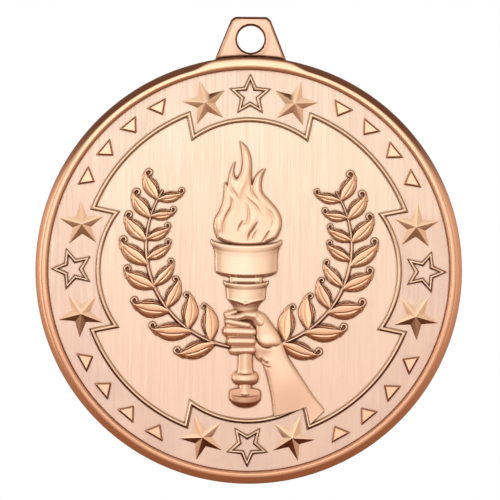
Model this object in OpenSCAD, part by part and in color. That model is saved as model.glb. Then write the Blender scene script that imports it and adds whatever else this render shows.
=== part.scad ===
// Sports award medal: a round relief medal with a fixed suspension loop.
// The medal hangs upright: +Z runs up through the loop, the obverse faces -Y,
// and the origin is the centre of the suspension hole, midway through the loop.
// The relief is drawn flat, with the disc's centre at [0, 0] and its height
// along +Z, and hang() stands it up.

/* [Disc] */
// Diameter over the rim
disc_d = 50; // [49.6:0.1:53]
// Thickness over the rim
edge_t = 2.8; // [2.6:0.1:3.6]
// Width of the raised rim
rim_w = 1.4; // [1.2:0.1:1.6]
// Depth of the obverse field below the rim's crown
field_depth = 0.9; // [0.9:0.05:1.1]
// Depth of the reverse panel below the reverse rim
reverse_depth = 0.25; // [0.15:0.05:0.4]

/* [Suspension loop] */
// Diameter of the hole for the ribbon ring
hole_d = 3.2; // [2.4:0.1:3.4]
// Distance of the hole's centre from the disc's edge
hole_gap = 2.1; // [1.9:0.1:2.3]
// Thickness of the loop
loop_t = 2.0; // [1.6:0.1:2.2]
// Height of the loop's flat top above the hole's centre
loop_top = 2.6; // [2.4:0.1:2.8]
// Width of the loop at its top
loop_top_w = 4.6; // [4.2:0.1:5]
// Width of the loop where it meets the rim
loop_foot_w = 8.4; // [7.6:0.1:9]

/* [Border] */
// Radius of the stepped line between the star bays
line_r = 19.6; // [19.4:0.1:19.8]
// Width of the stepped line
line_w = 0.5; // [0.4:0.05:0.6]
// Height of the stepped line
line_h = 0.3; // [0.2:0.05:0.4]
// Radius of a star bay's curved floor
bay_r = 11.5; // [11:0.1:12]
// Distance of a star bay's curve from the disc's centre
bay_centre = 6.15; // [5.8:0.05:6.4]
// Circumradius of the faceted stars
star_r = 2.79; // [2.6:0.01:2.85]
// Height of the faceted stars
star_h = 0.55; // [0.4:0.05:0.7]
// Circumradius of the outlined stars
open_star_r = 2.6; // [2.5:0.01:2.75]
// Height of the triangle studs
stud_h = 0.32; // [0.2:0.02:0.4]

/* [Wreath] */
// Radius of the stems at their foot
stem_r = 11.65; // [11.6:0.05:11.8]
// Growth of the stems' radius up to their tips
stem_growth = 0.55; // [0.4:0.05:0.6]
// Width of the stems
stem_w = 0.45; // [0.35:0.05:0.5]
// Height of the stems
stem_h = 0.3; // [0.2:0.05:0.4]
// Height of the leaves
leaf_h = 0.45; // [0.35:0.05:0.6]

/* [Torch and hand] */
// Relief height of the torch bowl
bowl_h = 0.85; // [0.6:0.05:0.9]
// Relief height of the flame
flame_h = 0.75; // [0.5:0.05:0.85]
// Relief height of the hand
hand_h = 0.85; // [0.6:0.05:0.9]
// Distance of the torch's axis from the disc's centre
torch_x = -0.3; // [-0.4:0.1:-0.2]

/* [Hidden] */
$fn = 96;

disc_r = disc_d / 2;
hole_rise = disc_r + hole_gap;
web_r = disc_r - rim_w;
field_z = edge_t - field_depth;
loop_low_z = (edge_t - loop_t) / 2;
ring_r = 20.28;          // centres of the faceted stars
open_ring_r = 20.55;     // centres of the outlined stars
star_waist = 0.40;       // a faceted star's inner radius over its outer one
open_waist = 0.45;       // and an outlined star's
open_line_w = 0.4;       // width of an outlined star's rail
quarter = 90;
star_offset = 15;        // angle of a faceted star from its bay's outlined star
stud_angles = [-15.6, -5.2, 5.2, 15.6];   // about the middle of each quarter
stud_outer_r = 22.4;
stud_inner_r = 20.73;
stud_base = 2.63;
stud_bevel = 0.27;       // width of a stud's bevel
stud_deep = 0.6;         // from a stud's middle to its sides

copper = [0.86, 0.66, 0.53];
pale_copper = [0.93, 0.76, 0.64];
dark_copper = [0.66, 0.42, 0.30];

stem_centre = [0, 2.5];
stem_start = 10.8;       // angle round the wreath, from straight down
stem_end = 124;

// Leaves of the left half of the wreath, from the foot upwards:
// [angle along the stem, middle of the tip's curl, width of the blade]
outer_leaves = [
    [19, [-8.25, -9.4], 1.95],
    [33.8, [-11.15, -6.5], 2.05],
    [51.3, [-13.3, -3.6], 2.05],
    [67, [-14.15, 0.1], 1.95],
    [80.5, [-14.65, 3.5], 1.9],
    [94, [-14.05, 6.4], 1.8],
    [107, [-13.15, 9.05], 1.7],
    [118, [-11.75, 11.35], 1.65]
];
inner_leaves = [
    [22, [-5.2, -4.25], 1.9],
    [36.7, [-7.25, -2.95], 1.85],
    [54, [-8.55, -1.1], 1.65],
    [68.4, [-9.15, 1.0], 1.5],
    [84, [-9.5, 3.3], 1.4],
    [95, [-9.55, 5.2], 1.35],
    [108, [-8.9, 7.1], 1.25],
    [118, [-7.95, 9.3], 1.2]
];
outer_curl = 0.52;       // outer radius of the curl at a leaf's tip
inner_curl = 0.40;
outer_sag = 9.5;         // angle of a blade below the line to its curl
inner_sag = 13;
curl_start = -65;        // where the curl takes over from the blade
curl_sweep = 230;

// Half-widths of the torch's turned parts, by height
bowl_wall = 3.65;
bowl_lip = 4.17;
cup_lip = 2.65;
cup_foot = 1.5;
grip_w = 0.85;
collar_w = 1.58;
neck_w = 0.6;
pommel_w = 1.85;

// ---- curves ----------------------------------------------------------------

function mid_curve(p0, p1, p2, p3, t) =
    0.5 * (2 * p1 + (p2 - p0) * t + (2 * p0 - 5 * p1 + 4 * p2 - p3) * t * t
        + (3 * p1 - p0 - 3 * p2 + p3) * t * t * t);

// A smooth run through its own points; its last point is left for the next run
function run(points, steps = 3) = [
    for (i = [0:len(points) - 2])
        for (k = [0:steps - 1])
            mid_curve(points[max(i - 1, 0)], points[i], points[i + 1],
                points[min(i + 2, len(points) - 1)], k / steps)
];

function outline(runs) = [for (one = runs) for (point = run(one)) point];
function polar(r, a) = [r * cos(a), r * sin(a)];

// ---- disc ------------------------------------------------------------------

// Stands the flat drawing up, with the hole's centre on the origin
module hang()
    translate([0, 0, -hole_rise])
        rotate([90, 0, 0])
            translate([0, 0, -edge_t / 2])
                children();

// Puts a piece of relief on the obverse field
module on_field()
    hang()
        translate([0, 0, field_z])
            children();

// Half-section of the rim: a bead by the field, then a slope out to the edge
function rim_section() = [
    [web_r, reverse_depth],
    [web_r + 0.2, reverse_depth],
    [web_r + 0.35, 0.06],
    [web_r + 0.5, 0],
    [disc_r - 0.35, 0],
    [disc_r - 0.1, 0.1],
    [disc_r, 0.35],
    [disc_r, edge_t - 0.85],
    [disc_r - 0.06, edge_t - 0.68],
    [disc_r - 0.2, edge_t - 0.52],
    [web_r + 0.62, edge_t - 0.1],
    [web_r + 0.5, edge_t - 0.03],
    [web_r + 0.36, edge_t],
    [web_r + 0.22, edge_t - 0.03],
    [web_r + 0.1, edge_t - 0.12],
    [web_r + 0.03, edge_t - 0.28],
    [web_r, edge_t - 0.5]
];

module field_disc()
    color(pale_copper)
        hang()
            translate([0, 0, reverse_depth])
                cylinder(h = field_z - reverse_depth, r = web_r);

module rim()
    color(copper)
        hang()
            rotate_extrude()
                polygon(rim_section());

module suspension_loop()
    color(copper)
        hang()
            difference() {
                translate([0, 0, loop_low_z])
                    linear_extrude(loop_t)
                        loop_outline();
                rotate_extrude()
                    polygon(concat([[0, 0]], [for (p = rim_section()) if (p[0] > web_r) p], [[0, edge_t]]));
                translate([0, hole_rise, 0])
                    cylinder(h = edge_t, d = hole_d);
            }

module loop_outline() {
    corner = 0.75;
    top = hole_rise + loop_top;
    half_top = loop_top_w / 2;
    half_foot = loop_foot_w / 2;
    foot_y = sqrt(web_r * web_r - half_foot * half_foot);
    polygon([
        [-half_foot, foot_y],
        [half_foot, foot_y],
        [half_foot - 0.15, foot_y + 1.2],
        [half_top + 0.12, top - corner],
        [half_top - 0.08, top - corner * 0.35],
        [half_top - corner * 0.6, top],
        [corner * 0.6 - half_top, top],
        [0.08 - half_top, top - corner * 0.35],
        [-half_top - 0.12, top - corner],
        [0.15 - half_foot, foot_y + 1.2]
    ]);
}

// ---- border ----------------------------------------------------------------

// The space inside the stepped line, grown by g
module inside_line(g)
    difference() {
        circle(r = line_r + g);
        for (a = [0:quarter:270])
            rotate(a)
                difference() {
                    star_bay(g);
                    translate([0, bay_centre])
                        circle(r = bay_r + g);
                }
    }

// A star bay's wedge, open towards the rim, shrunk by g
module star_bay(g) {
    low_y = 12;
    high_y = line_r + 2;
    lean = 0.216;        // sideways run of a bay's side for each unit of its height
    side_x = 6.64 - 15.73 * lean - g * sqrt(1 + lean * lean);
    polygon([
        [side_x + low_y * lean, low_y],
        [side_x + high_y * lean, high_y],
        [-side_x - high_y * lean, high_y],
        [-side_x - low_y * lean, low_y]
    ]);
}

module stepped_line()
    color(dark_copper)
        on_field()
            linear_extrude(line_h)
                difference() {
                    inside_line(line_w / 2);
                    inside_line(-line_w / 2);
                }

function star_points(r, waist) = [
    for (i = [0:9])
        polar(i % 2 == 0 ? r : r * waist, 90 - i * 36)
];

module facet_star()
    polyhedron(
        points = concat(
            [for (p = star_points(star_r, star_waist)) [p[0], p[1], 0]],
            [[0, 0, star_h]]
        ),
        faces = concat(
            [[for (i = [9:-1:0]) i]],
            [for (i = [0:9]) [i, 10, (i + 1) % 10]]
        )
    );

module facet_stars()
    color(copper)
        on_field()
            for (a = [0:quarter:270], side = [-star_offset, star_offset])
                rotate(a + side)
                    translate([0, ring_r, 0])
                        facet_star();

module outline_stars()
    color(dark_copper)
        on_field()
            for (a = [0:quarter:270])
                rotate(a)
                    translate([0, open_ring_r, 0])
                        open_star();

// The distance from the centre to a side sets how much smaller the hollow is
module open_star() {
    tip = polar(open_star_r, 90);
    waist = polar(open_star_r * open_waist, 54);
    side_gap = abs(tip[0] * waist[1] - tip[1] * waist[0]) / norm(tip - waist);
    hollow = 1 - open_line_w / side_gap;
    linear_extrude(line_h)
        difference() {
            polygon(star_points(open_star_r, open_waist));
            polygon(star_points(open_star_r * hollow, open_waist));
        }
}

// A stud is a triangle with bevelled sides and a flat top
module triangle_stud() {
    mid_y = stud_outer_r - (stud_outer_r - stud_inner_r) * 0.37;
    base = [[-stud_base / 2, stud_outer_r], [stud_base / 2, stud_outer_r], [0, stud_inner_r]];
    inset = [for (p = base) [0, mid_y] + (p - [0, mid_y]) * (1 - stud_bevel / stud_deep)];
    polyhedron(
        points = concat(
            [for (p = base) [p[0], p[1], 0]],
            [for (p = inset) [p[0], p[1], stud_h]]
        ),
        faces = [[0, 1, 2], [5, 4, 3], [0, 3, 4, 1], [1, 4, 5, 2], [2, 5, 3, 0]]
    );
}

module triangle_studs()
    color(copper)
        on_field()
            for (a = [45:quarter:315], side = stud_angles)
                rotate(a + side)
                    triangle_stud();

// ---- wreath ----------------------------------------------------------------

// A point of the left stem, by its angle from straight down
function stem_at(a, out = 0) =
    let (
        share = (a - stem_start) / (stem_end - stem_start),
        r = stem_r + stem_growth * share + out
    )
    [-r * sin(a), stem_centre[1] - r * cos(a)];

module stem(last, half) {
    steps = 32;
    angles = [for (i = [0:steps]) stem_start + (last - stem_start) * i / steps];
    polygon(concat(
        [for (i = [0:steps]) stem_at(angles[i], half)],
        [for (i = [steps:-1:0]) stem_at(angles[i], -half)]
    ));
}

// A leaf lies along +X from [0, 0] and its tip curls round towards +Y. Its middle
// line runs from the stem into the curl, and the two edges lie each side of it.
function bezier(p, t) =
    pow(1 - t, 3) * p[0] + 3 * t * pow(1 - t, 2) * p[1] + 3 * t * t * (1 - t) * p[2] + pow(t, 3) * p[3];
function leaf_middle(eye, curl, t) =
    let (
        neck = curl * 0.4,
        meet = eye + polar(curl - neck, curl_start)
    )
    t <= 1
        ? bezier([[0, 0], [0.45 * eye[0], 0], meet - polar(0.35 * eye[0], curl_start + 90), meet], t)
        : eye + polar((curl - neck) * (1.35 - 0.35 * t), curl_start + curl_sweep * (t - 1));
function leaf_half(width, neck, t) =
    t <= 1
        ? 0.16 * (1 - t) + neck * t + (width / 2 - 0.18) * sin(180 * pow(t, 0.9))
        : neck * (1.5 - 0.5 * t);
function leaf_edge(eye, width, curl, t, side) =
    let (
        near = leaf_middle(eye, curl, t - 0.01),
        far = leaf_middle(eye, curl, t + 0.01),
        way = (far - near) / norm(far - near)
    )
    leaf_middle(eye, curl, t) + side * leaf_half(width, curl * 0.4, t) * [-way[1], way[0]];

module leaf_shape(eye, width, curl) {
    stops = concat([for (i = [0:7]) i / 8], [for (i = [0:7]) 1 + i / 7]);
    polygon(concat(
        [for (i = [0:15]) leaf_edge(eye, width, curl, stops[i], -1)],
        [for (i = [15:-1:0]) leaf_edge(eye, width, curl, stops[i], 1)]
    ));
}

// The raised middle of a blade
module leaf_crown(eye, width)
    polygon([
        for (i = [0:11])
            [eye[0] * (0.47 + 0.3 * cos(i * 30)), width * 0.26 * sin(i * 30) - 0.08]
    ]);

// Puts each leaf of a row in its place on the stem, curl side up for turn = 1
module along_stem(leaves, sag, turn)
    for (one = leaves) {
        foot = stem_at(one[0]);
        reach = norm(one[1] - foot);
        way = atan2(one[1][1] - foot[1], one[1][0] - foot[0]);
        $eye = reach * [cos(sag), sin(sag)];
        $width = one[2];
        translate(foot)
            rotate(way - turn * sag)
                mirror([0, turn < 0 ? 1 : 0])
                    children();
    }

// A row of leaves, cut clear of its stem and of what the row is given as children
module leaf_row(leaves, curl, sag, turn) {
    blade_h = leaf_h * 0.7;
    linear_extrude(blade_h)
        difference() {
            along_stem(leaves, sag, turn)
                leaf_shape($eye, $width, curl);
            stem(stem_end + 6, stem_w / 2 + 0.02);
            children();
        }
    translate([0, 0, blade_h])
        linear_extrude(leaf_h - blade_h)
            along_stem(leaves, sag, turn)
                leaf_crown($eye, $width);
}

// The left stem's foot stops at the fingers
module stem_left()
    color(dark_copper)
        on_field()
            linear_extrude(stem_h)
                difference() {
                    stem(stem_end, stem_w / 2);
                    all_fingers();
                }

// The right stem's foot stops at the hand
module stem_right()
    color(dark_copper)
        on_field()
            linear_extrude(stem_h)
                difference() {
                    mirror([1, 0])
                        stem(stem_end, stem_w / 2);
                    palm_shape();
                    forearm_shape();
                }

module leaves_left_outer()
    color(copper)
        on_field()
            leaf_row(outer_leaves, outer_curl, outer_sag, -1);

module leaves_left_inner()
    color(copper)
        on_field()
            leaf_row(inner_leaves, inner_curl, inner_sag, 1);

module leaves_right_outer()
    color(copper)
        on_field()
            mirror([1, 0, 0])
                leaf_row(outer_leaves, outer_curl, outer_sag, -1)
                    mirror([1, 0]) {
                        palm_shape();
                        forearm_shape();
                    }

module leaves_right_inner()
    color(copper)
        on_field()
            mirror([1, 0, 0])
                leaf_row(inner_leaves, inner_curl, inner_sag, 1)
                    mirror([1, 0])
                        palm_shape();

// ---- torch -----------------------------------------------------------------

// Rounds a relief off like a turned piece: rise high on the axis and edge high
// at half_w to each side of it
module turned(half_w, rise, edge) {
    drop = rise - edge;
    r = (half_w * half_w + drop * drop) / (2 * drop);
    intersection() {
        linear_extrude(rise + 1)
            children();
        translate([torch_x, 0, rise - r])
            rotate([90, 0, 0])
                cylinder(h = 80, r = r, center = true, $fn = 256);
    }
}

// The front lip of the bowl, left to right, where the flame rises from it
lip_line = [[-3.9, 3.65], [-3.0, 3.35], [-1.5, 3.0], [-0.3, 2.9], [0.9, 3.0], [2.4, 3.35], [3.3, 3.65]];

module flame_shape()
    polygon(concat(
        outline([
            [[-3.8, 3.75], [-4.13, 4.9], [-4.05, 6.0], [-3.5, 7.0], [-3.08, 8.3], [-3.0, 9.4], [-2.9, 10.4]],
            [[-2.9, 10.4], [-2.72, 10.2], [-2.6, 10.0]],
            [[-2.6, 10.0], [-2.4, 11.2], [-2.05, 12.2], [-1.6, 12.85]],
            [[-1.6, 12.85], [-1.8, 11.9], [-1.75, 11.2], [-1.5, 10.75]],
            [[-1.5, 10.75], [-1.05, 11.6], [-0.9, 12.7], [-1.0, 14.0], [-1.2, 15.2]],
            [[-1.2, 15.2], [-0.3, 14.4], [0.2, 13.0], [0.25, 11.2], [0.3, 10.1]],
            [[0.3, 10.1], [0.7, 11.15], [1.3, 11.75], [1.95, 12.0]],
            [[1.95, 12.0], [1.5, 10.8], [1.5, 9.3], [2.5, 8.1], [3.5, 6.8], [3.82, 5.6], [3.6, 4.5], [3.3, 3.75]]
        ]),
        [for (i = [len(lip_line) - 1:-1:0]) lip_line[i] + [0, 0.02]]
    ));

module bowl_shape() {
    lip = bowl_lip;
    wall = bowl_wall;
    polygon(concat(
        [for (p = lip_line) p],
        [[torch_x + lip, 3.6], [torch_x + lip + 0.05, 3.3], [torch_x + wall + 0.2, 2.3], [torch_x + wall, 1.4]],
        [for (a = [0:-15:-180]) [torch_x + wall * cos(a), 0.85 * sin(a)]],
        [[torch_x - wall, 1.4], [torch_x - wall - 0.2, 2.3], [torch_x - lip - 0.05, 3.3]]
    ));
}

module cup_shape()
    difference() {
        polygon(concat(
            [
                [torch_x - cup_lip, -1.2], [torch_x - cup_lip + 0.1, -1.6], [torch_x - cup_lip + 0.25, -2.0],
                [torch_x - cup_lip + 0.4, -3.3], [torch_x - cup_foot, -4.4], [torch_x + cup_foot, -4.4],
                [torch_x + cup_lip - 0.4, -3.3], [torch_x + cup_lip - 0.25, -2.0],
                [torch_x + cup_lip - 0.1, -1.6], [torch_x + cup_lip, -1.2]
            ],
            [[torch_x + 2, 0], [torch_x - 2, 0]]
        ));
        bowl_shape();
    }

module flame()
    color(pale_copper)
        on_field()
            turned(4.5, flame_h, 0.35)
                flame_shape();

module torch_bowl()
    color(copper)
        on_field()
            turned(bowl_lip + 0.05, bowl_h, 0.25)
                bowl_shape();

module torch_cup()
    color(copper)
        on_field()
            turned(cup_lip, bowl_h - 0.05, 0.25)
                difference() {
                    cup_shape();
                    thumb_shape();
                }

module torch_grip()
    color(copper)
        on_field()
            turned(grip_w + 0.15, 0.6, 0.2)
                difference() {
                    polygon([
                        [torch_x - grip_w, -9.3], [torch_x + grip_w, -9.3], [torch_x + grip_w, -11.5],
                        [torch_x + grip_w + 0.15, -11.9], [torch_x - grip_w - 0.15, -11.9],
                        [torch_x - grip_w, -11.5]
                    ]);
                    all_fingers();
                    palm_shape();
                }

module torch_collar()
    color(copper)
        on_field()
            turned(collar_w, 0.75, 0.25)
                polygon(concat(
                    [[torch_x - collar_w, -11.9], [torch_x + collar_w, -11.9]],
                    [for (a = [0:-30:-180]) [torch_x + collar_w * cos(a), -13.1 + 0.2 * sin(a)]]
                ));

module torch_neck()
    color(copper)
        on_field()
            turned(neck_w, 0.45, 0.2)
                difference() {
                    polygon([
                        [torch_x - neck_w, -13], [torch_x + neck_w, -13],
                        [torch_x + neck_w + 0.1, -14.2], [torch_x - neck_w - 0.1, -14.2]
                    ]);
                    polygon(concat(
                        [[torch_x - collar_w, -12.5], [torch_x + collar_w, -12.5]],
                        [for (a = [0:-30:-180]) [torch_x + collar_w * cos(a), -13.1 + 0.2 * sin(a)]]
                    ));
                    pommel_shape();
                }

module pommel_shape()
    polygon(concat(
        [for (a = [180:-15:0]) [torch_x + pommel_w * cos(a), -14.2 + 0.5 * sin(a)]],
        [for (a = [0:-15:-180]) [torch_x + pommel_w * cos(a), -15.1 + 0.8 * sin(a)]]
    ));

module torch_pommel()
    color(copper)
        on_field()
            turned(pommel_w, 0.8, 0.25)
                pommel_shape();

// ---- hand ------------------------------------------------------------------

// Each finger's left end, right end, middle height and thickness
finger_bars = [
    [-2.7, 0.35, -6.28, 0.7],
    [-2.95, 0.65, -7.22, 1.1],
    [-2.5, 0.7, -8.32, 0.98],
    [-2.15, 0.75, -9.36, 0.98]
];

module finger_shape(one) {
    r = one[3] / 2;
    translate([one[0] + r, one[2]])
        circle(r = r);
    translate([one[0] + r, one[2] - r])
        square([one[1] - one[0] - r, one[3]]);
}

module all_fingers()
    for (one = finger_bars)
        finger_shape(one);

// A finger is a bar with a rounded back
module finger(one) {
    half = one[3] / 2;
    drop = hand_h * 0.45;
    r = (half * half + drop * drop) / (2 * drop);
    intersection() {
        linear_extrude(hand_h)
            difference() {
                finger_shape(one);
                thumb_shape();
                palm_shape();
            }
        translate([0, one[2], hand_h - r])
            rotate([0, 90, 0])
                cylinder(h = 20, r = r, center = true);
    }
}

module fingers()
    color(pale_copper)
        on_field()
            for (one = finger_bars)
                finger(one);

module thumb_shape()
    polygon(outline([
        [[-2.9, -5.2], [-2.0, -4.65], [-1.1, -4.95], [0, -4.35], [1.2, -4.7]],
        [[1.2, -4.7], [1.1, -6.1]],
        [[1.1, -6.1], [0.5, -6.05], [0, -5.5], [-1.2, -5.9], [-2.2, -5.75], [-2.9, -5.2]]
    ]));

module thumb()
    color(pale_copper)
        on_field()
            linear_extrude(hand_h - 0.1)
                thumb_shape();

module palm_shape()
    polygon(outline([
        [[1.22, -4.7], [2.2, -5.1], [3.0, -6.4], [3.9, -7.9], [3.95, -8.9], [2.7, -9.9], [1.6, -10.35], [0.7, -10.2]],
        [[0.7, -10.2], [0.78, -8.5], [0.9, -7.2], [1.12, -6.1]],
        [[1.12, -6.1], [1.22, -4.7]]
    ]));

module palm()
    color(pale_copper)
        on_field()
            linear_extrude(hand_h - 0.05)
                palm_shape();

module forearm_shape()
    difference() {
        polygon(outline([
            [[3.95, -8.4], [4.7, -10.3], [5.5, -11.4], [7.0, -13.7], [8.2, -15.3], [9.2, -16.6]],
            [[9.2, -16.6], [7.4, -18.2]],
            [[7.4, -18.2], [3.1, -17.6]],
            [[3.1, -17.6], [2.9, -15.5], [2.35, -12.7], [2.05, -11.4], [1.5, -10.4]],
            [[1.5, -10.4], [2.4, -8.8], [3.95, -8.4]]
        ]));
        palm_shape();
        rotate(180)
            difference() {
                star_bay(line_w / 2 + 0.02);
                translate([0, bay_centre])
                    circle(r = bay_r - line_w / 2 - 0.02);
            }
        difference() {
            circle(r = line_r + 6);
            circle(r = line_r - line_w / 2 - 0.02);
        }
    }

// The arm is rounded across its own length
module forearm() {
    arm_top = [3.2, -10];
    arm_lean = 22;
    r = 12;
    color(pale_copper)
        on_field()
            intersection() {
                linear_extrude(hand_h)
                    forearm_shape();
                translate([arm_top[0], arm_top[1], hand_h - r])
                    rotate(arm_lean)
                        rotate([90, 0, 0])
                            cylinder(h = 30, r = r, center = true, $fn = 256);
            }
}

field_disc();
rim();
suspension_loop();
stepped_line();
facet_stars();
outline_stars();
triangle_studs();
stem_left();
stem_right();
leaves_left_outer();
leaves_left_inner();
leaves_right_outer();
leaves_right_inner();
flame();
torch_bowl();
torch_cup();
torch_grip();
torch_collar();
torch_neck();
torch_pommel();
fingers();
thumb();
palm();
forearm();
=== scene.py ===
import bpy
import bmesh
import math
import numpy as np
from mathutils import Matrix, Vector


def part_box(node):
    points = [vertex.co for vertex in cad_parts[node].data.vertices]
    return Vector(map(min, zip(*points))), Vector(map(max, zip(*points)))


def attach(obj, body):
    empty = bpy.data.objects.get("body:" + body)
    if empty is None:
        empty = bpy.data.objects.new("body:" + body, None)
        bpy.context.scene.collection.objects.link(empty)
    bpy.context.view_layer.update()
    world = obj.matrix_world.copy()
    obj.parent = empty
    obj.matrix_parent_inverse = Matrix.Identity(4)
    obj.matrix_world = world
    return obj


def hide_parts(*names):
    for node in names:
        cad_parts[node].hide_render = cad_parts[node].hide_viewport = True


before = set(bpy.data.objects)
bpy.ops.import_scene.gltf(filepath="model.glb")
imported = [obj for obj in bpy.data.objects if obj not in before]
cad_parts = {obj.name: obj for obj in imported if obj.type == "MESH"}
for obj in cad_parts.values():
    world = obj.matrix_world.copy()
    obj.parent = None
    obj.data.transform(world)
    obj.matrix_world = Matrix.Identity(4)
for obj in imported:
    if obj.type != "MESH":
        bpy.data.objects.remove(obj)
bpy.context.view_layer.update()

# The medal is drawn flat in millimetres: x to the right and y up from the disc's
# centre, and height above the obverse field. onMedal() stands it up in the frame.
mm = 0.001
rimLow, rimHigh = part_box("rim")
fieldLow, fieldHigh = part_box("field_disc")
discR = (rimHigh.x - rimLow.x) / 2 / mm
webR = (fieldHigh.x - fieldLow.x) / 2 / mm
discZ = (rimHigh.z + rimLow.z) / 2
fieldY = fieldLow.y
backDrop = (rimHigh.y - fieldY) / mm       # from the field to the reverse rim
crownRise = (fieldY - rimLow.y) / mm       # from the field to the rim's crown


def onMedal(points):
    p = np.asarray(points, dtype=float).reshape(-1, 3)
    return np.column_stack((p[:, 0] * mm, fieldY - p[:, 2] * mm, discZ + p[:, 1] * mm))


def addPiece(name, points, faces, material, nodes, sharp=38):
    # Edges that turn by more than sharp degrees stay crisp
    mesh = bpy.data.meshes.new(name)
    mesh.from_pydata([tuple(p) for p in onMedal(points)], [], faces)
    mesh.validate()
    bm = bmesh.new()
    bm.from_mesh(mesh)
    bmesh.ops.recalc_face_normals(bm, faces=bm.faces)
    bm.to_mesh(mesh)
    bm.free()
    mesh.shade_smooth()
    mesh.set_sharp_from_angle(angle=math.radians(sharp))
    mesh.materials.append(material)
    piece = bpy.data.objects.new(name, mesh)
    bpy.context.scene.collection.objects.link(piece)
    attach(piece, "root")
    if nodes:
        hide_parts(*nodes)


# Curves and distances that several parts share
tiny = 1e-12     # a length that counts as nothing


def polar(r, degrees):
    a = math.radians(degrees)
    return np.array((r * math.cos(a), r * math.sin(a)))


def spinMatrix(a):
    return np.array(((math.cos(a), -math.sin(a)), (math.sin(a), math.cos(a))))


def leftOf(way):
    way = way / np.linalg.norm(way)
    return np.array((-way[1], way[0]))


def smoothRun(points, steps=6):
    # Catmull-Rom through the points, without the last one
    p = [np.array(q, dtype=float) for q in points]
    out = []
    for i in range(len(p) - 1):
        a, b, c, d = p[max(i - 1, 0)], p[i], p[i + 1], p[min(i + 2, len(p) - 1)]
        for k in range(steps):
            t = k / steps
            out.append(0.5 * (2 * b + (c - a) * t + (2 * a - 5 * b + 4 * c - d) * t * t
                              + (3 * b - a - 3 * c + d) * t ** 3))
    return out


def closedOutline(runs, steps=6):
    return np.array([q for run in runs for q in smoothRun(run, steps)])


def openCurve(points):
    return np.array(smoothRun(points) + [np.array(points[-1], dtype=float)])


def smooth(t):
    t = np.clip(t, 0, 1)
    return t * t * (3 - 2 * t)


def lineDistance(x, y, points, closed=False):
    # Distance to a polyline, and how far along it the nearest point lies, 0 to 1
    p = np.asarray(points, dtype=float)
    q = np.roll(p, -1, axis=0) if closed else p[1:]
    p = p if closed else p[:-1]
    best = np.full(x.shape, np.inf)
    along = np.zeros(x.shape)
    for i, (a, b) in enumerate(zip(p, q)):
        d = b - a
        size = max(float(d @ d), tiny)
        t = np.clip(((x - a[0]) * d[0] + (y - a[1]) * d[1]) / size, 0, 1)
        gap = np.hypot(x - a[0] - t * d[0], y - a[1] - t * d[1])
        near = gap < best
        best = np.where(near, gap, best)
        along = np.where(near, (i + t) / len(p), along)
    return best, along


def signedInside(x, y, points):
    # Distance to a closed outline, positive inside it
    gap, _ = lineDistance(x, y, points, closed=True)
    inside = np.zeros(x.shape, dtype=bool)
    p = np.asarray(points)
    for a, b in zip(p, np.roll(p, -1, axis=0)):
        crosses = (a[1] > y) != (b[1] > y)
        if abs(b[1] - a[1]) > tiny:
            inside ^= crosses & (x < (b[0] - a[0]) * (y - a[1]) / (b[1] - a[1]) + a[0])
    return np.where(inside, gap, -gap)


def rounded(gap, width):
    # A quarter-round shoulder: 0 on the outline, 1 a width inside it, steep outside
    s = np.clip(gap / width, 0, 1)
    return np.where(gap >= 0, np.sqrt(1 - (1 - s) ** 2), gap * 4 / width)


def blendMax(a, b, soft):
    h = np.clip(0.5 + 0.5 * (a - b) / soft, 0, 1)
    return b + (a - b) * h + soft * h * (1 - h)


def groove(x, y, points, width, depth, fade):
    # A furrow along a curve that fades out towards both ends
    gap, along = lineDistance(x, y, openCurve(points))
    ends = smooth(along / fade) * smooth((1 - along) / fade)
    return depth * np.exp(-(gap / width) ** 2) * ends


sink = 0.12      # how far a relief runs down into the disc, so that no gap shows


def patchMesh(low, high, step, heightAt, place=None):
    # A closed block whose top is the height function, where that clears the field
    xs = np.arange(low[0], high[0] + step / 2, step)
    ys = np.arange(low[1], high[1] + step / 2, step)
    x, y = np.meshgrid(xs, ys)
    h = heightAt(x, y)
    corners = np.maximum.reduce([h[:-1, :-1], h[1:, :-1], h[:-1, 1:], h[1:, 1:]])
    keep = corners > -sink
    used = np.zeros(x.shape, dtype=bool)
    rows, cols = np.nonzero(keep)
    for dr in (0, 1):
        for dc in (0, 1):
            used[rows + dr, cols + dc] = True
    index = np.full(x.shape, -1, dtype=int)
    index[used] = np.arange(used.sum())
    flat = np.column_stack((x[used], y[used]))
    if place is not None:
        flat = place(flat)
    top = np.column_stack((flat, np.maximum(h[used], -sink)))
    base = np.column_stack((flat, np.full(len(flat), -sink * 1.5)))
    count = len(top)
    a, b = index[rows, cols], index[rows, cols + 1]
    d, e = index[rows + 1, cols + 1], index[rows + 1, cols]
    padded = np.pad(keep, 1)
    quads = [np.column_stack((a, b, d, e)), np.column_stack((a, e, d, b)) + count]
    for dr, dc, p, q in ((-1, 0, b, a), (0, 1, d, b), (1, 0, e, d), (0, -1, a, e)):
        bare = ~padded[rows + 1 + dr, cols + 1 + dc]
        p, q = p[bare], q[bare]
        quads.append(np.column_stack((p, q, q + count, p + count)))
    return np.vstack((top, base)), np.vstack(quads).tolist()


def joined(parts):
    points, faces = [], []
    start = 0
    for p, f in parts:
        points.append(np.asarray(p, dtype=float))
        faces += [[i + start for i in face] for face in f]
        start += len(p)
    return np.vstack(points), faces


def reliefPatch(name, box, step, heightAt, material, nodes):
    low, high = box
    points, faces = patchMesh(low, high, step, heightAt)
    addPiece(name, points, faces, material, nodes, sharp=70)


def bandFaces(rings, size, closed=True):
    # Quads between rings of equal size laid one after another
    faces = []
    for i in range(rings if closed else rings - 1):
        j = (i + 1) % rings
        for k in range(size):
            m = (k + 1) % size
            faces.append((i * size + k, i * size + m, j * size + m, j * size + k))
    return faces


# Short ways to add shader nodes

def link(tree, a, b):
    tree.links.new(a, b)


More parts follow.
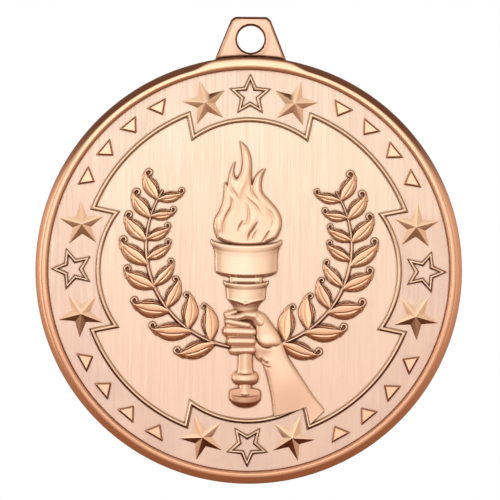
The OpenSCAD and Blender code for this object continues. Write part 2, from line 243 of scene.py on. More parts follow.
def feed(tree, socket, v):
    # A number or a colour is set on the socket itself, anything else is linked to it
    if isinstance(v, (int, float)):
        socket.default_value = v
    elif isinstance(v, tuple):
        socket.default_value = (*v, 1)
    else:
        link(tree, v, socket)


def mathNode(tree, kind, a, b=None, clamp=False):
    n = tree.nodes.new("ShaderNodeMath")
    n.operation = kind
    n.use_clamp = clamp
    feed(tree, n.inputs[0], a)
    if b is not None:
        feed(tree, n.inputs[1], b)
    return n.outputs[0]


def times(tree, a, b):
    return mathNode(tree, "MULTIPLY", a, b)


def rangeNode(tree, value, low, high, toLow=0.0, toHigh=1.0):
    n = tree.nodes.new("ShaderNodeMapRange")
    n.interpolation_type = "SMOOTHSTEP"
    link(tree, value, n.inputs["Value"])
    for socketName, v in (("From Min", low), ("From Max", high), ("To Min", toLow), ("To Max", toHigh)):
        feed(tree, n.inputs[socketName], v)
    return n.outputs[0]


def mixColor(tree, factor, a, b, kind="MIX"):
    n = tree.nodes.new("ShaderNodeMix")
    n.data_type = "RGBA"
    n.blend_type = kind
    for socketIndex, v in ((0, factor), (6, a), (7, b)):     # where a colour mix has its sockets
        feed(tree, n.inputs[socketIndex], v)
    return n.outputs[2]


def objectPlace(tree, scale):
    place = tree.nodes.new("ShaderNodeTexCoord")
    mapping = tree.nodes.new("ShaderNodeMapping")
    mapping.inputs["Scale"].default_value = scale
    link(tree, place.outputs["Object"], mapping.inputs["Vector"])
    return mapping.outputs[0]


def noiseAt(tree, scale, detail, rough=0.5):
    n = tree.nodes.new("ShaderNodeTexNoise")
    n.inputs["Scale"].default_value = 1.0
    n.inputs["Detail"].default_value = detail
    n.inputs["Roughness"].default_value = rough
    link(tree, objectPlace(tree, scale), n.inputs["Vector"])
    return n.outputs["Fac"]


def splitAxes(tree, vector):
    n = tree.nodes.new("ShaderNodeSeparateXYZ")
    link(tree, vector, n.inputs[0])
    return n


def facing(tree):
    shape = tree.nodes.new("ShaderNodeNewGeometry")
    return splitAxes(tree, shape.outputs["Normal"])


def groupFrame(name, inputs, outputs):
    # An effect's node group: every socket carries a single value
    tree = bpy.data.node_groups.new(name, "ShaderNodeTree")
    for socketName, value in inputs:
        s = tree.interface.new_socket(name=socketName, in_out="INPUT", socket_type="NodeSocketFloat")
        s.default_value = value
    for socketName in outputs:
        tree.interface.new_socket(name=socketName, in_out="OUTPUT", socket_type="NodeSocketFloat")
    return tree, tree.nodes.new("NodeGroupInput"), tree.nodes.new("NodeGroupOutput")


def makeAntiquingAndShade():
    # Darkening in corners, partly patina left in the hollows and partly painted shade, and painted shade
    # on steep walls that face sideways; the high places stay bright. Slope marks steep slopes for a painted
    # shade tint
    tree, given, result = groupFrame(
        "AntiquingAndShade", [("Reach", 0.0005), ("Amount", 1.0), ("Wall Dark", 0.6)], ["Oxide", "Slope"])
    shade = tree.nodes.new("ShaderNodeAmbientOcclusion")
    shade.samples = 8
    link(tree, given.outputs["Reach"], shade.inputs["Distance"])
    corner = rangeNode(tree, shade.outputs["AO"], 0.42, 0.95, 1.0, 0.0)
    out = mathNode(tree, "ABSOLUTE", facing(tree).outputs["Y"])     # 1 where it faces straight out
    # Painted shade on steep walls, chosen by which way they face
    wall = rangeNode(tree, out, 0.35, 0.85, 1.0, 0.0)
    link(tree, rangeNode(tree, out, 0.6, 0.99, 1.0, 0.0), result.inputs["Slope"])
    wallShare = times(tree, wall, given.outputs["Wall Dark"])
    both = mathNode(tree, "MAXIMUM", corner, wallShare)
    patchy = rangeNode(tree, noiseAt(tree, (900, 900, 900), 4.0, 0.6), 0.3, 0.7, 0.82, 1.0)
    amount = times(tree, both, given.outputs["Amount"])
    link(tree, mathNode(tree, "MULTIPLY", amount, patchy, clamp=True), result.inputs["Oxide"])
    return tree


def makePaintedLeanShade():
    # Painted shade chosen by which way a slope faces: on slopes that hang downwards, more so low on
    # the disc, and near its top on slopes that lean back to the loop
    tree, given, result = groupFrame("PaintedLeanShade", [("Middle", 0.0)], ["Under", "Over", "Inward"])
    lean = facing(tree)
    place = splitAxes(tree, objectPlace(tree, (1, 1, 1)))
    height = mathNode(tree, "SUBTRACT", place.outputs["Z"], given.outputs["Middle"])
    down = rangeNode(tree, times(tree, lean.outputs["Z"], -1.0), 0.02, 0.28)
    lowShare = rangeNode(tree, height, 0.016, -0.012, 0.25, 1.0)
    link(tree, times(tree, down, lowShare), result.inputs["Under"])
    up = rangeNode(tree, lean.outputs["Z"], 0.12, 0.42)
    over = times(tree, up, rangeNode(tree, height, 0.004, 0.018))
    link(tree, over, result.inputs["Over"])
    aside = mathNode(tree, "ABSOLUTE", place.outputs["X"])
    # Painted shadow on the near halves of the stars by the loop
    inward = rangeNode(tree, aside, 0.0046, 0.0052, 1.0, 0.0)     # the near halves of the stars by the loop
    link(tree, times(tree, over, inward), result.inputs["Inward"])
    return tree


def makeSatinGrain():
    # Fine upright strokes of the satin wheel
    tree, given, result = groupFrame("Satin grain", [("Contrast", 1.0)], ["Stroke", "Height"])
    fine = noiseAt(tree, (9000, 9000, 160), 2.0, 0.6)
    broad = noiseAt(tree, (3600, 3600, 50), 2.0, 0.6)
    both = mathNode(tree, "ADD", times(tree, fine, 0.82), times(tree, broad, 0.18))
    centred = mathNode(tree, "SUBTRACT", both, 0.5)
    stroke = times(tree, centred, given.outputs["Contrast"])
    link(tree, mathNode(tree, "ADD", stroke, 0.5, clamp=True), result.inputs["Stroke"])
    link(tree, both, result.inputs["Height"])
    return tree


def makeWornEdge():
    # Convex ridges, where the plating is polished brighter
    tree, given, result = groupFrame("Worn edge", [("Start", 0.52), ("End", 0.6)], ["Ridge"])
    shape = tree.nodes.new("ShaderNodeNewGeometry")
    mask = rangeNode(tree, shape.outputs["Pointiness"], given.outputs["Start"], given.outputs["End"])
    link(tree, mask, result.inputs["Ridge"])
    return tree


def makeSpecks():
    # Small dark pits here and there
    tree, given, result = groupFrame("Specks", [("Size", 0.1)], ["Pit"])
    cells = tree.nodes.new("ShaderNodeTexVoronoi")
    cells.inputs["Scale"].default_value = 1.0
    link(tree, objectPlace(tree, (240, 240, 240)), cells.inputs["Vector"])
    near = rangeNode(tree, cells.outputs["Distance"], 0.0, given.outputs["Size"], 1.0, 0.0)
    rare = rangeNode(tree, noiseAt(tree, (130, 130, 130), 1.0), 0.6, 0.64)
    link(tree, times(tree, near, rare), result.inputs["Pit"])
    return tree


def makeOuterBand():
    # The border outside the stepped line, darker and pinker than the field inside it:
    # a ring all round, and the bays where the line steps in
    tree, given, result = groupFrame(
        "Outer band", [("Middle", 0.0), ("Start", 0.019), ("End", 0.0202)], ["Band"])
    place = splitAxes(tree, objectPlace(tree, (1, 1, 1)))
    across = place.outputs["X"]
    height = mathNode(tree, "SUBTRACT", place.outputs["Z"], given.outputs["Middle"])
    squares = mathNode(tree, "ADD", times(tree, across, across), times(tree, height, height))
    away = mathNode(tree, "SQRT", squares)
    ring = rangeNode(tree, away, given.outputs["Start"], given.outputs["End"])
    sides = [mathNode(tree, "ABSOLUTE", v) for v in (across, height)]
    nearer = mathNode(tree, "MINIMUM", *sides)
    inBay = rangeNode(tree, nearer, 0.0064, 0.007, 1.0, 0.0)
    bay = times(tree, inBay, rangeNode(tree, away, 0.0169, 0.0178))
    link(tree, mathNode(tree, "MAXIMUM", ring, bay), result.inputs["Band"])
    return tree


antiquingAndShade = makeAntiquingAndShade()
paintedLeanShade = makePaintedLeanShade()
satinGrain = makeSatinGrain()
wornEdge = makeWornEdge()
specks = makeSpecks()
outerBand = makeOuterBand()


def useGroup(tree, group, **values):
    n = tree.nodes.new("ShaderNodeGroup")
    n.node_tree = group
    for name, v in values.items():
        n.inputs[name.replace("_", " ")].default_value = v
    return n


# metres above and below the disc's middle between which the colour goes from color to lower, a painted light
# gradient: lighter at the top, darker at the foot
driftFrom, driftTo = 0.021, 0.016
bumpDepth = 0.01 * mm    # of the brush strokes


def plated(name, look):
    # One satin copper plate over the whole casting, with its own tint for each part
    material = bpy.data.materials.new(name)
    material.use_nodes = True
    tree = material.node_tree
    shader = tree.nodes["Principled BSDF"]
    shader.inputs["Metallic"].default_value = 1.0
    oxideAndShade = useGroup(tree, antiquingAndShade, Reach=look["reach"], Amount=look["oxideAndShade"], Wall_Dark=look["wall"])
    grain = useGroup(tree, satinGrain, Contrast=look["grain"])
    pits = useGroup(tree, specks, Size=look["pits"])
    lean = useGroup(tree, paintedLeanShade, Middle=discZ)

    # Painted light: the colour goes from lighter at the top of the disc to darker at its foot, with cloudy
    # random tone over it
    place = splitAxes(tree, objectPlace(tree, (1, 1, 1)))
    drift = rangeNode(tree, place.outputs["Z"], discZ + driftFrom, discZ - driftTo)
    cloud = times(tree, mathNode(tree, "SUBTRACT", noiseAt(tree, (90, 90, 90), 2.0), 0.5), 0.8)
    color = mixColor(tree, mathNode(tree, "ADD", drift, cloud, clamp=True), look["color"], look["lower"])
    # The band is patchy and stronger towards the foot of the disc
    if look["band"]:
        edge = useGroup(tree, outerBand, Middle=discZ)
        patchy = rangeNode(tree, noiseAt(tree, (260, 260, 260), 3.0, 0.6), 0.35, 0.65, 0.55, 1.0)
        fading = times(tree, patchy, rangeNode(tree, drift, 0.0, 1.0, 0.55, 0.95))
        color = mixColor(tree, times(tree, edge.outputs["Band"], fading), color, look["band"])
    color = mixColor(tree, grain.outputs["Stroke"], color, look["stroke"], "SOFT_LIGHT")

    # Painted shade: steep slopes tinted, and slopes that hang down and slopes that lean back darkened, all
    # by which way they face;
    # then bright worn ridges, pits, and last the darkening in corners and on steep walls, partly patina in
    # hollows and partly painted shade
    color = mixColor(tree, times(tree, oxideAndShade.outputs["Slope"], look["slope"]), color, look["tint"])
    color = mixColor(tree, times(tree, lean.outputs["Under"], look["under"]), color, look["underShadeTint"])
    color = mixColor(tree, times(tree, lean.outputs[look["overKind"]], look["over"]), color, look["dark"])
    if look["ridge"]:
        ridge = useGroup(tree, wornEdge, Start=look["ridge"][0], End=look["ridge"][1])
        color = mixColor(tree, ridge.outputs["Ridge"], color, look["worn"])
    color = mixColor(tree, pits.outputs["Pit"], color, look["dark"])
    color = mixColor(tree, oxideAndShade.outputs["Oxide"], color, look["dark"])
    link(tree, color, shader.inputs["Base Color"])

    rough = rangeNode(tree, grain.outputs["Stroke"], 0.2, 0.8, *look["rough"])
    dull = times(tree, oxideAndShade.outputs["Oxide"], 0.25)
    link(tree, mathNode(tree, "ADD", rough, dull, clamp=True), shader.inputs["Roughness"])
    bump = tree.nodes.new("ShaderNodeBump")
    bump.inputs["Strength"].default_value = look["bump"]
    bump.inputs["Distance"].default_value = bumpDepth
    link(tree, grain.outputs["Height"], bump.inputs["Height"])
    link(tree, bump.outputs["Normal"], shader.inputs["Normal"])
    return material


# What can be changed in a look: color and lower are the colour at the top and at the foot of
# the disc, a painted light gradient; stroke the brush marks, band the darker ring outside the stepped
# line, dark the patina in hollows and the painted shade, tint the painted shade on steep slopes, the
# under tint the painted shade on hanging slopes and worn the bright edges; slope, under, over, wall and the
# corner darkening amount say how strongly patina and painted shade are laid on, reach how far corners
# darken, and ridge from where to where an edge counts as worn
# Brown for patina in hollows and for painted shade
oxideAndShadeBrown = (0.14, 0.047, 0.022)
fieldLook = {
    "color": (0.87, 0.805, 0.69), "lower": (0.875, 0.725, 0.625), "stroke": (0.60, 0.57, 0.53),
    "band": (0.76, 0.63, 0.58), "dark": (0.22, 0.085, 0.045),
    "tint": (0.9, 0.6, 0.45), "slope": 0.0, "under": 0.0, "underShadeTint": oxideAndShadeBrown,
    "over": 0.0, "overKind": "Over", "rough": (0.40, 0.48), "grain": 2.3, "reach": 0.0003,
    "oxideAndShade": 1.0, "wall": 0.0, "ridge": None, "pits": 0.06, "bump": 0.15,
}
reliefLook = dict(
    fieldLook, band=None, color=(0.95, 0.71, 0.51), lower=(0.95, 0.63, 0.45), worn=(0.98, 0.84, 0.68),
    dark=oxideAndShadeBrown, tint=(0.88, 0.44, 0.25), slope=0.6, under=0.75, underShadeTint=(0.42, 0.16, 0.075),
    rough=(0.30, 0.38), grain=0.5, oxideAndShade=0.74, wall=0.85, ridge=(0.505, 0.56), bump=0.08)
# The rim is much darker at the foot of the disc than at its top, and its outer slope darker near the top:
# painted shade and painted reflection
rimLook = dict(
    reliefLook, color=(0.91, 0.66, 0.485), lower=(0.71, 0.42, 0.295), tint=(0.98, 0.60, 0.42),
    slope=0.9, wall=0.35, under=0.1, over=0.95, oxideAndShade=0.9, reach=0.00025, ridge=None)
# The thread at the rim's foot: dark brown, near black at the foot of the disc, partly patina in the corner
# and partly painted shade
footLook = dict(
    rimLook, color=(0.52, 0.28, 0.18), lower=(0.17, 0.075, 0.045), slope=0.0, over=0.0, wall=0.0)
loopLook = dict(
    rimLook, color=(0.90, 0.68, 0.55), tint=(0.66, 0.31, 0.17), rough=(0.40, 0.48), wall=0.85,
    reach=0.0009)
lineLook = dict(
    reliefLook, color=(0.92, 0.77, 0.61), lower=(0.91, 0.72, 0.57), dark=(0.09, 0.032, 0.018),
    underShadeTint=(0.15, 0.055, 0.028), oxideAndShade=0.9, slope=0.12, wall=1.0, under=0.9, ridge=None)
# Stars: painted shade on facets that hang down, and painted shadow on the near halves of the top stars by
# the loop
starLook = dict(
    reliefLook, color=(1.0, 0.80, 0.61), lower=(0.99, 0.75, 0.59), tint=(1.0, 0.56, 0.35),
    underShadeTint=(0.20, 0.073, 0.038), oxideAndShade=0.9, slope=0.5, wall=0.2, under=1.0, over=1.0,
    overKind="Inward", ridge=None)
studLook = dict(
    starLook, color=(0.87, 0.62, 0.46), lower=(0.86, 0.61, 0.46), tint=(0.60, 0.33, 0.21),
    slope=0.8, wall=0.5, under=0.8, over=0.0)
# The bowl and the cup are paler than the other relief, which keeps their highlights bright: painted light
torchLook = dict(
    reliefLook, color=(0.97, 0.83, 0.68), lower=(0.96, 0.75, 0.60), underShadeTint=(0.30, 0.115, 0.06),
    rough=(0.32, 0.40), oxideAndShade=0.8, slope=0.4, wall=0.55, under=0.85)
handLook = dict(
    reliefLook, color=(0.99, 0.83, 0.68), lower=(0.97, 0.74, 0.60), tint=(0.93, 0.58, 0.40),
    rough=(0.38, 0.46), oxideAndShade=0.62, slope=0.3, wall=0.25, under=0.22)
flameLook = dict(torchLook, color=(0.93, 0.72, 0.56), rough=(0.36, 0.44))
gripLook = dict(torchLook, rough=(0.38, 0.46), oxideAndShade=0.75, wall=0.3, under=0.6, ridge=None)
# The pommel is darker than the rest of the torch: painted shade on its side band
pommelLook = dict(
    torchLook, color=(0.80, 0.58, 0.43), lower=(0.70, 0.46, 0.34), rough=(0.36, 0.44), wall=0.4,
    ridge=None)
leafLook = dict(reliefLook, reach=0.00014, wall=0.95, under=0.85)
stemLook = dict(lineLook, color=(0.96, 0.74, 0.58), lower=(0.93, 0.68, 0.53), wall=0.85)

fieldMetal = plated("satinField", fieldLook)
leafMetal = plated("leafPlate", leafLook)
rimMetal = plated("rimPlate", rimLook)
footMetal = plated("footPlate", footLook)
lineMetal = plated("linePlate", lineLook)
starMetal = plated("starPlate", starLook)
studMetal = plated("studPlate", studLook)
loopMetal = plated("loopPlate", loopLook)
torchMetal = plated("torchPlate", torchLook)
handMetal = plated("handPlate", handLook)
flameMetal = plated("flamePlate", flameLook)
gripMetal = plated("gripPlate", gripLook)
pommelMetal = plated("pommelPlate", pommelLook)
stemMetal = plated("stemPlate", stemLook)
print("materials made")


def dress(node, material):
    # For a node that keeps its CAD shape, as the disc between the two faces does
    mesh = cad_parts[node].data
    mesh.materials.clear()
    mesh.materials.append(material)


dress("field_disc", fieldMetal)


rim = {
    "around": 540,
    "bead": 0.34,            # distance of the crown from the field's edge
    "beadShift": 0.12,       # how much further out it lies beside the loop
    "fall": 1.15,            # steepness of the outer slope
    "belly": 0.12,           # how far that slope swells above a straight one
    "slopeFrom": 0.66,       # where the slope begins, away from the loop
    "slopeLast": 1.28,       # and where it begins beside the loop
    "levelTilt": 0.055,      # how far the level crown tips outwards there
    "flatFrom": 9.5,         # angle from the loop's middle where the slope starts to widen
    "flatTo": 16.5,
    # distance from the field's edge and height, of the dark thread at the rim's foot
    "thread": [(-0.15, -0.03), (-0.13, 0.012), (-0.07, 0.03), (0.02, 0.06), (0.02, -0.03)],
}


def rimSection(flat):
    # Front half from the field out to the edge, then the back half in again; flat
    # is 1 beside the loop, where the crown runs out level, and 0 elsewhere
    c, r, e, back = crownRise, webR, discR, backDrop
    bead = rim["bead"] + rim["beadShift"] * flat
    front = [(r - 0.02, -0.05), (r - 0.01, c - 0.5), (r + 0.01, c - 0.24),
             (r + 0.05, c - 0.1), (r + 0.12, c - 0.03 - 0.015 * flat),
             (r + bead * 0.7, c - 0.004), (r + bead, c)]
    start = rim["slopeFrom"] + (rim["slopeLast"] - rim["slopeFrom"]) * flat
    front.append((r + (bead + start) / 2, c - 0.01 - 0.02 * flat))
    steps = 5
    for k in range(steps + 1):
        share = k / steps
        out = start + (e - r - 0.02 - start) * share
        soft = share - rim["belly"] * math.sin(math.pi * share)
        front.append((r + out, c - 0.025 - rim["levelTilt"] * flat - rim["fall"] * (e - r - start) * soft))
    rear = [(e, c - 1.15), (e, -back + 0.4), (e - 0.03, -back + 0.24),
            (e - 0.1, -back + 0.12), (e - 0.22, -back + 0.04), (e - 0.38, -back),
            (r + 0.5, -back), (r + 0.38, -back + 0.03), (r + 0.28, -back + 0.14),
            (r + 0.2, -back + 0.26), (r - 0.02, -back + 0.3)]
    return front + rear


def turnedRing(name, sectionAt, material, nodes):
    points = []
    for i in range(rim["around"]):
        a = 360 * i / rim["around"]
        section = sectionAt(a)
        points += [(*polar(r, a), h) for r, h in section]
    addPiece(name, points, bandFaces(rim["around"], len(section)), material, nodes)


def beadSection(a):
    off = abs((a - 90 + 180) % 360 - 180)      # degrees away from the loop
    return rimSection(1 - float(smooth((off - rim["flatFrom"]) / (rim["flatTo"] - rim["flatFrom"]))))


def threadSection(a):
    # A dark thread where the field meets the rim, the same all round: partly patina in the corner, partly
    # painted shade
    return [(webR + out, h) for out, h in rim["thread"]]


turnedRing("rim_bead", beadSection, rimMetal, ("rim",))
turnedRing("rim_foot", threadSection, footMetal, ())
print("rim made")


loop = {
    "hole": 1.6, "top": 2.6, "topHalf": 2.3, "footHalf": 4.2, "corner": 0.8, "thick": 2.0,
    "rooted": 0.35,          # how far its foot reaches in under the rim
    "footSpan": 9.2,         # degrees that the foot takes up, to either side
    "edge": 0.34, "holeEdge": 0.26, "easeDepth": 0.40,
    "collar": 0.8,           # level ring round the hole; the metal lies lower outside it
    "hollow": 0.07, "seam": 0.18, "seamWidth": 0.12, "rays": 240,
}


def loopSides(holeY):
    # From the left end of its foot over the top to the right end
    top = holeY + loop["top"]
    half, foot, c = loop["topHalf"], loop["footHalf"], loop["corner"]
    footY = math.sqrt((discR - loop["rooted"]) ** 2 - foot ** 2)
    left = [(-foot, footY), (-foot + 0.12, footY + 0.6), (-half - 0.22, top - c * 1.1),
            (-half + 0.02, top - c * 0.45), (-half + c * 0.55, top - 0.04), (-half + c, top)]
    right = [(-x, y) for x, y in left[::-1]]
    return closedOutline([left, [left[-1], right[0]], right], 8)


def rayReach(outline, start, way):
    # How far a ray runs before it meets the outline
    slack = 1e-9
    best = math.inf
    for a, b in zip(outline, np.roll(outline, -1, axis=0)):
        d = b - a
        cross = way[0] * d[1] - way[1] * d[0]
        if abs(cross) < tiny:
            continue
        ax, ay = a[0] - start[0], a[1] - start[1]
        t = (ax * d[1] - ay * d[0]) / cross
        s = (ax * way[1] - ay * way[0]) / cross
        if t > 0 and -slack <= s <= 1 + slack:
            best = min(best, t)
    return best


def loopDrops(xs, ys, fromHole, sides, holeY):
    # How far the front and the back lie below the loop's flat faces; the eased edge is
    # wider on the right and narrow again over the top
    gap, _ = lineDistance(xs, ys, sides)
    wide = loop["edge"] * (0.5 + 0.6 * smooth((xs + 1) / 3))
    wide = wide + (loop["edge"] - wide) * smooth((ys - holeY - 1.2) / 0.9)
    edgeDrop = loop["easeDepth"] * (1 - np.clip(gap / wide, 0, 1)) ** 1.5
    holeWide = loop["holeEdge"] * np.where(ys < holeY, 1.0, 0.75)
    holeDrop = loop["easeDepth"] * (1 - np.clip(fromHole / holeWide, 0, 1)) ** 1.4
    eased = np.maximum(edgeDrop, holeDrop)
    collar = loop["hollow"] * smooth(fromHole / loop["collar"] - 0.1) * smooth((gap - 0.1) / 0.4)
    seam = loop["seam"] * np.exp(-((np.hypot(xs, ys) - discR) / loop["seamWidth"]) ** 2)
    return eased + collar + seam, eased * 0.8


def makeLoop():
    holeY = -discZ / mm
    sides = loopSides(holeY)
    span = np.linspace(-loop["footSpan"], loop["footSpan"], 24)
    outline = np.vstack((sides, [polar(discR - loop["rooted"], 90 + d) for d in span]))
    middle = (crownRise - backDrop) / 2
    face = middle + loop["thick"] / 2
    rear = middle - loop["thick"] / 2
    # Close together at the hole's edge and at the outer edge
    stops = np.concatenate((np.linspace(0, 0.3, 9), np.linspace(0.38, 0.7, 5), np.linspace(0.74, 1, 12)))
    points = []
    for i in range(loop["rays"]):
        way = polar(1, 360 * i / loop["rays"])
        reach = rayReach(outline, (0, holeY), way)
        out = loop["hole"] + (reach - loop["hole"]) * stops
        xs, ys = way[0] * out, holeY + way[1] * out
        frontDrop, rearDrop = loopDrops(xs, ys, out - loop["hole"], sides, holeY)
        front = list(zip(xs, ys, face - frontDrop))
        behind = list(zip(xs, ys, rear + rearDrop))
        points += front + behind[::-1]
    addPiece("loop_plate", points, bandFaces(loop["rays"], 2 * len(stops)), loopMetal,
             ("suspension_loop",))


makeLoop()
print("loop made")


def railPoints(path, section, blunt):
    # Rings of a rail that runs round a closed path, mitred at its corners; the larger
    # blunt is, the sooner a sharp corner is cut off
    p = np.asarray(path, dtype=float)
    came = p - np.roll(p, 1, axis=0)
    goes = np.roll(p, -1, axis=0) - p
    came /= np.linalg.norm(came, axis=1)[:, None]
    goes /= np.linalg.norm(goes, axis=1)[:, None]
    leftBefore = np.column_stack((-came[:, 1], came[:, 0]))
    leftAfter = np.column_stack((-goes[:, 1], goes[:, 0]))
    mitre = leftBefore + leftAfter
    mitre /= np.linalg.norm(mitre, axis=1)[:, None]
    stretch = 1 / np.maximum((mitre * leftBefore).sum(axis=1), blunt)
    points = []
    for q, m, s in zip(p, mitre, stretch):
        for off, h in section:
            points.append((*(q + m * s * off), h))
    return points


def railSection(width, height):
    # Rounded over the top, in shares of half its width and of its height
    half = [(0.28, 0.93), (0.5, 0.72), (0.76, 0.36), (1.0, 0.0), (1.2, -sink / height)]
    w = width / 2
    left = [(-out * w, up * height) for out, up in half[::-1]]
    return left + [(0, height)] + [(out * w, up * height) for out, up in half]


border = {
    "lineR": 19.6, "bayR": 11.5, "bayCentre": 6.15, "outer": 7.18, "inner": 6.64,
    "width": 0.6, "height": 0.3, "blunt": 0.25,
}


def steppedPath():
    # Four times a bay that the line steps in round, then the line's own arc
    outerA = math.degrees(math.asin(border["outer"] / border["lineR"]))
    innerA = math.degrees(math.asin(border["inner"] / border["bayR"]))
    centre = (0, border["bayCentre"])
    bay = [centre + polar(border["bayR"], 90 - d) for d in np.linspace(-innerA, innerA, 41)]
    arc = [polar(border["lineR"], 90 - d) for d in np.linspace(outerA, 90 - outerA, 61)]
    path = []
    for turn in (0, 90, 180, 270):
        path += [spinMatrix(math.radians(-turn)) @ q for q in bay + arc]
    return path


def starPath(r, waist):
    # Five points and five notches, with the first point at the top
    return [polar(r if i % 2 == 0 else r * waist, 90 - i * 36) for i in range(10)]


def turned(points, degrees, shift=(0, 0)):
    spin = spinMatrix(math.radians(degrees))
    return [spin @ (np.array(q) + np.array(shift)) for q in points]


def closedRail(name, paths, part, node):
    section = railSection(part["width"], part["height"])
    points, faces = [], []
    for path in paths:
        start = len(points)
        points += railPoints(path, section, part["blunt"])
        faces += [tuple(i + start for i in f) for f in bandFaces(len(path), len(section))]
    addPiece(name, points, faces, lineMetal, (node,), sharp=50)


outlineStar = {
    "r": 2.13, "waist": 0.45, "width": 0.52, "height": 0.3, "blunt": 0.55,
    "rings": (20.49, 20.63, 20.5, 20.61),      # distance from the middle: top, right, foot, left
}
outlines = [turned(starPath(outlineStar["r"], outlineStar["waist"]), -90 * i, (0, ring))
            for i, ring in enumerate(outlineStar["rings"])]
closedRail("border_line", [steppedPath()], border, "stepped_line")
closedRail("star_outlines", outlines, outlineStar, "outline_stars")
print("line work made")


facetStar = {"ring": 20.28, "r": 2.79, "waist": 0.40, "height": 0.52, "offset": 15, "ease": 0.05, "cuts": 2}
stud = {
    "outer": 22.4, "inner": 20.73, "base": 2.63, "height": 0.34,
    "middle": 0.37, "top": 0.70,     # where its flat top sits, and its share of the outline
    "ease": 0.04, "cuts": 1, "angles": (-15.6, -5.2, 5.2, 15.6),
}


def bevelledSolid(bm, ring, top, part):
    # A closed solid from a ring up to a top ring or an apex, with its upper edges eased
    low = [bm.verts.new((*q, -sink)) for q in ring]
    mid = [bm.verts.new((*q, 0)) for q in ring]
    high = [bm.verts.new(q) for q in top]
    n = len(low)
    bm.faces.new(low[::-1])
    for i in range(n):
        bm.faces.new((low[i], low[(i + 1) % n], mid[(i + 1) % n], mid[i]))
    if len(high) == 1:
        for i in range(n):
            bm.faces.new((mid[i], mid[(i + 1) % n], high[0]))
        edges = [e for e in bm.edges if high[0] in e.verts]
    else:
        for i in range(n):
            bm.faces.new((mid[i], mid[(i + 1) % n], high[(i + 1) % n], high[i]))
        bm.faces.new(high)
        edges = [e for e in bm.edges if e.verts[0] in high or e.verts[1] in high]
    bmesh.ops.bevel(bm, geom=edges, offset=part["ease"], segments=part["cuts"], profile=0.5, affect="EDGES")


def addSolids(name, solids, part, node, material):
    points, faces = [], []
    for ring, top in solids:
        bm = bmesh.new()
        bevelledSolid(bm, ring, top, part)
        bm.verts.index_update()
        start = len(points)
        points += [tuple(v.co) for v in bm.verts]
        faces += [tuple(v.index + start for v in f.verts) for f in bm.faces]
        bm.free()
    addPiece(name, points, faces, material, (node,), sharp=16)


def starSolids():
    # A pair of stars in each bay, whose ten facets meet in a point
    solids = []
    shift = (0, facetStar["ring"])
    for bay in (0, 90, 180, 270):
        for side in (-facetStar["offset"], facetStar["offset"]):
            ring = turned(starPath(facetStar["r"], facetStar["waist"]), bay + side, shift)
            tip = turned([(0, 0)], bay + side, shift)[0]
            solids.append((ring[::-1], [(*tip, facetStar["height"])]))
    return solids


def studSolids():
    # Four triangles between two bays, each pointing to the disc's middle
    solids = []
    r0, r1, half = stud["outer"], stud["inner"], stud["base"] / 2
    ring = [(-half, r0), (0, r1), (half, r0)]
    mid = np.array((0, r0 - (r0 - r1) * stud["middle"]))
    top = [mid + (np.array(q) - mid) * stud["top"] for q in ring]
    for quarter in (45, 135, 225, 315):
        for side in stud["angles"]:
            inner = turned(top, quarter + side)
            solids.append((turned(ring, quarter + side), [(*q, stud["height"]) for q in inner]))
    return solids


addSolids("facet_star_set", starSolids(), facetStar, "facet_stars", starMetal)
addSolids("stud_set", studSolids(), stud, "triangle_studs", studMetal)
print("stars and studs made")


wreath = {
    "footR": 11.65, "growth": 0.55, "centre": 2.5, "last": 124.0,
    "first": 10.8, "firstRight": 18.0,     # angles where the left and the right stem begin
    "stemWidth": 0.56, "stemHeight": 0.34, "stemTaper": 0.35,
    "outerCurl": 0.56, "innerCurl": 0.45, "outerSag": 9.5, "innerSag": 13.0,
    "curlStart": -65.0, "curlSweep": 255.0, "curlIn": 0.42, "neck": 0.30,
    "leafHeight": 0.44, "step": 0.05,
    "veinDepth": 0.045, "veinWidth": 0.07,
    "frontRail": 0.075, "frontRise": 0.18,     # the thin rail along a leaf's front edge
    "backRise": 0.16, "curlRise": 0.24,        # the back rail, and what the curl adds to it
    "gapFloor": 0.03,                          # height left in the open crescent
    # angle along the stem, middle of the curl, width of the blade
    "outer": [(19, (-8.25, -9.4), 2.05), (33.8, (-11.15, -6.5), 2.15), (51.3, (-13.3, -3.6), 2.15),
              (67, (-14.15, 0.1), 2.05), (80.5, (-14.65, 3.5), 2.0), (94, (-14.05, 6.4), 1.9),
              (107, (-13.15, 9.05), 1.8), (118, (-11.75, 11.35), 1.75)],
    "inner": [(22, (-5.2, -4.25), 2.0), (36.7, (-7.25, -2.95), 1.95), (54, (-8.55, -1.1), 1.75),
              (68.4, (-9.15, 1.0), 1.6), (84, (-9.5, 3.3), 1.5), (95, (-9.55, 5.2), 1.45),
              (108, (-8.9, 7.1), 1.35), (118, (-7.95, 9.3), 1.3)],
}


def stemAt(degrees):
    share = (degrees - wreath["first"]) / (wreath["last"] - wreath["first"])
    r = wreath["footR"] + wreath["growth"] * share
    a = math.radians(degrees)
    return np.array((-r * math.sin(a), wreath["centre"] - r * math.cos(a)))


def bezier(p, t):
    return ((1 - t) ** 3 * p[0] + 3 * t * (1 - t) ** 2 * p[1]
            + 3 * t * t * (1 - t) * p[2] + t ** 3 * p[3])


def leafMiddle(eye, curl, t):
    # The leaf's middle line up to its tip, drawn towards the outside of the curl
    neck = curl * wreath["neck"]
    start = wreath["curlStart"]
    meet = eye + polar(curl - neck, start)
    heading = polar(1, start + 90)
    reach = eye[0]
    return bezier((np.zeros(2), np.array((0.45 * reach, 0)), meet - heading * 0.35 * reach, meet), t)


def curlPath(eye, curl):
    neck = curl * wreath["neck"]
    path = []
    for t in np.linspace(0, 1, 22):
        r = (curl - neck) * (1 - wreath["curlIn"] * t)
        path.append(eye + polar(r, wreath["curlStart"] + wreath["curlSweep"] * t))
    return path


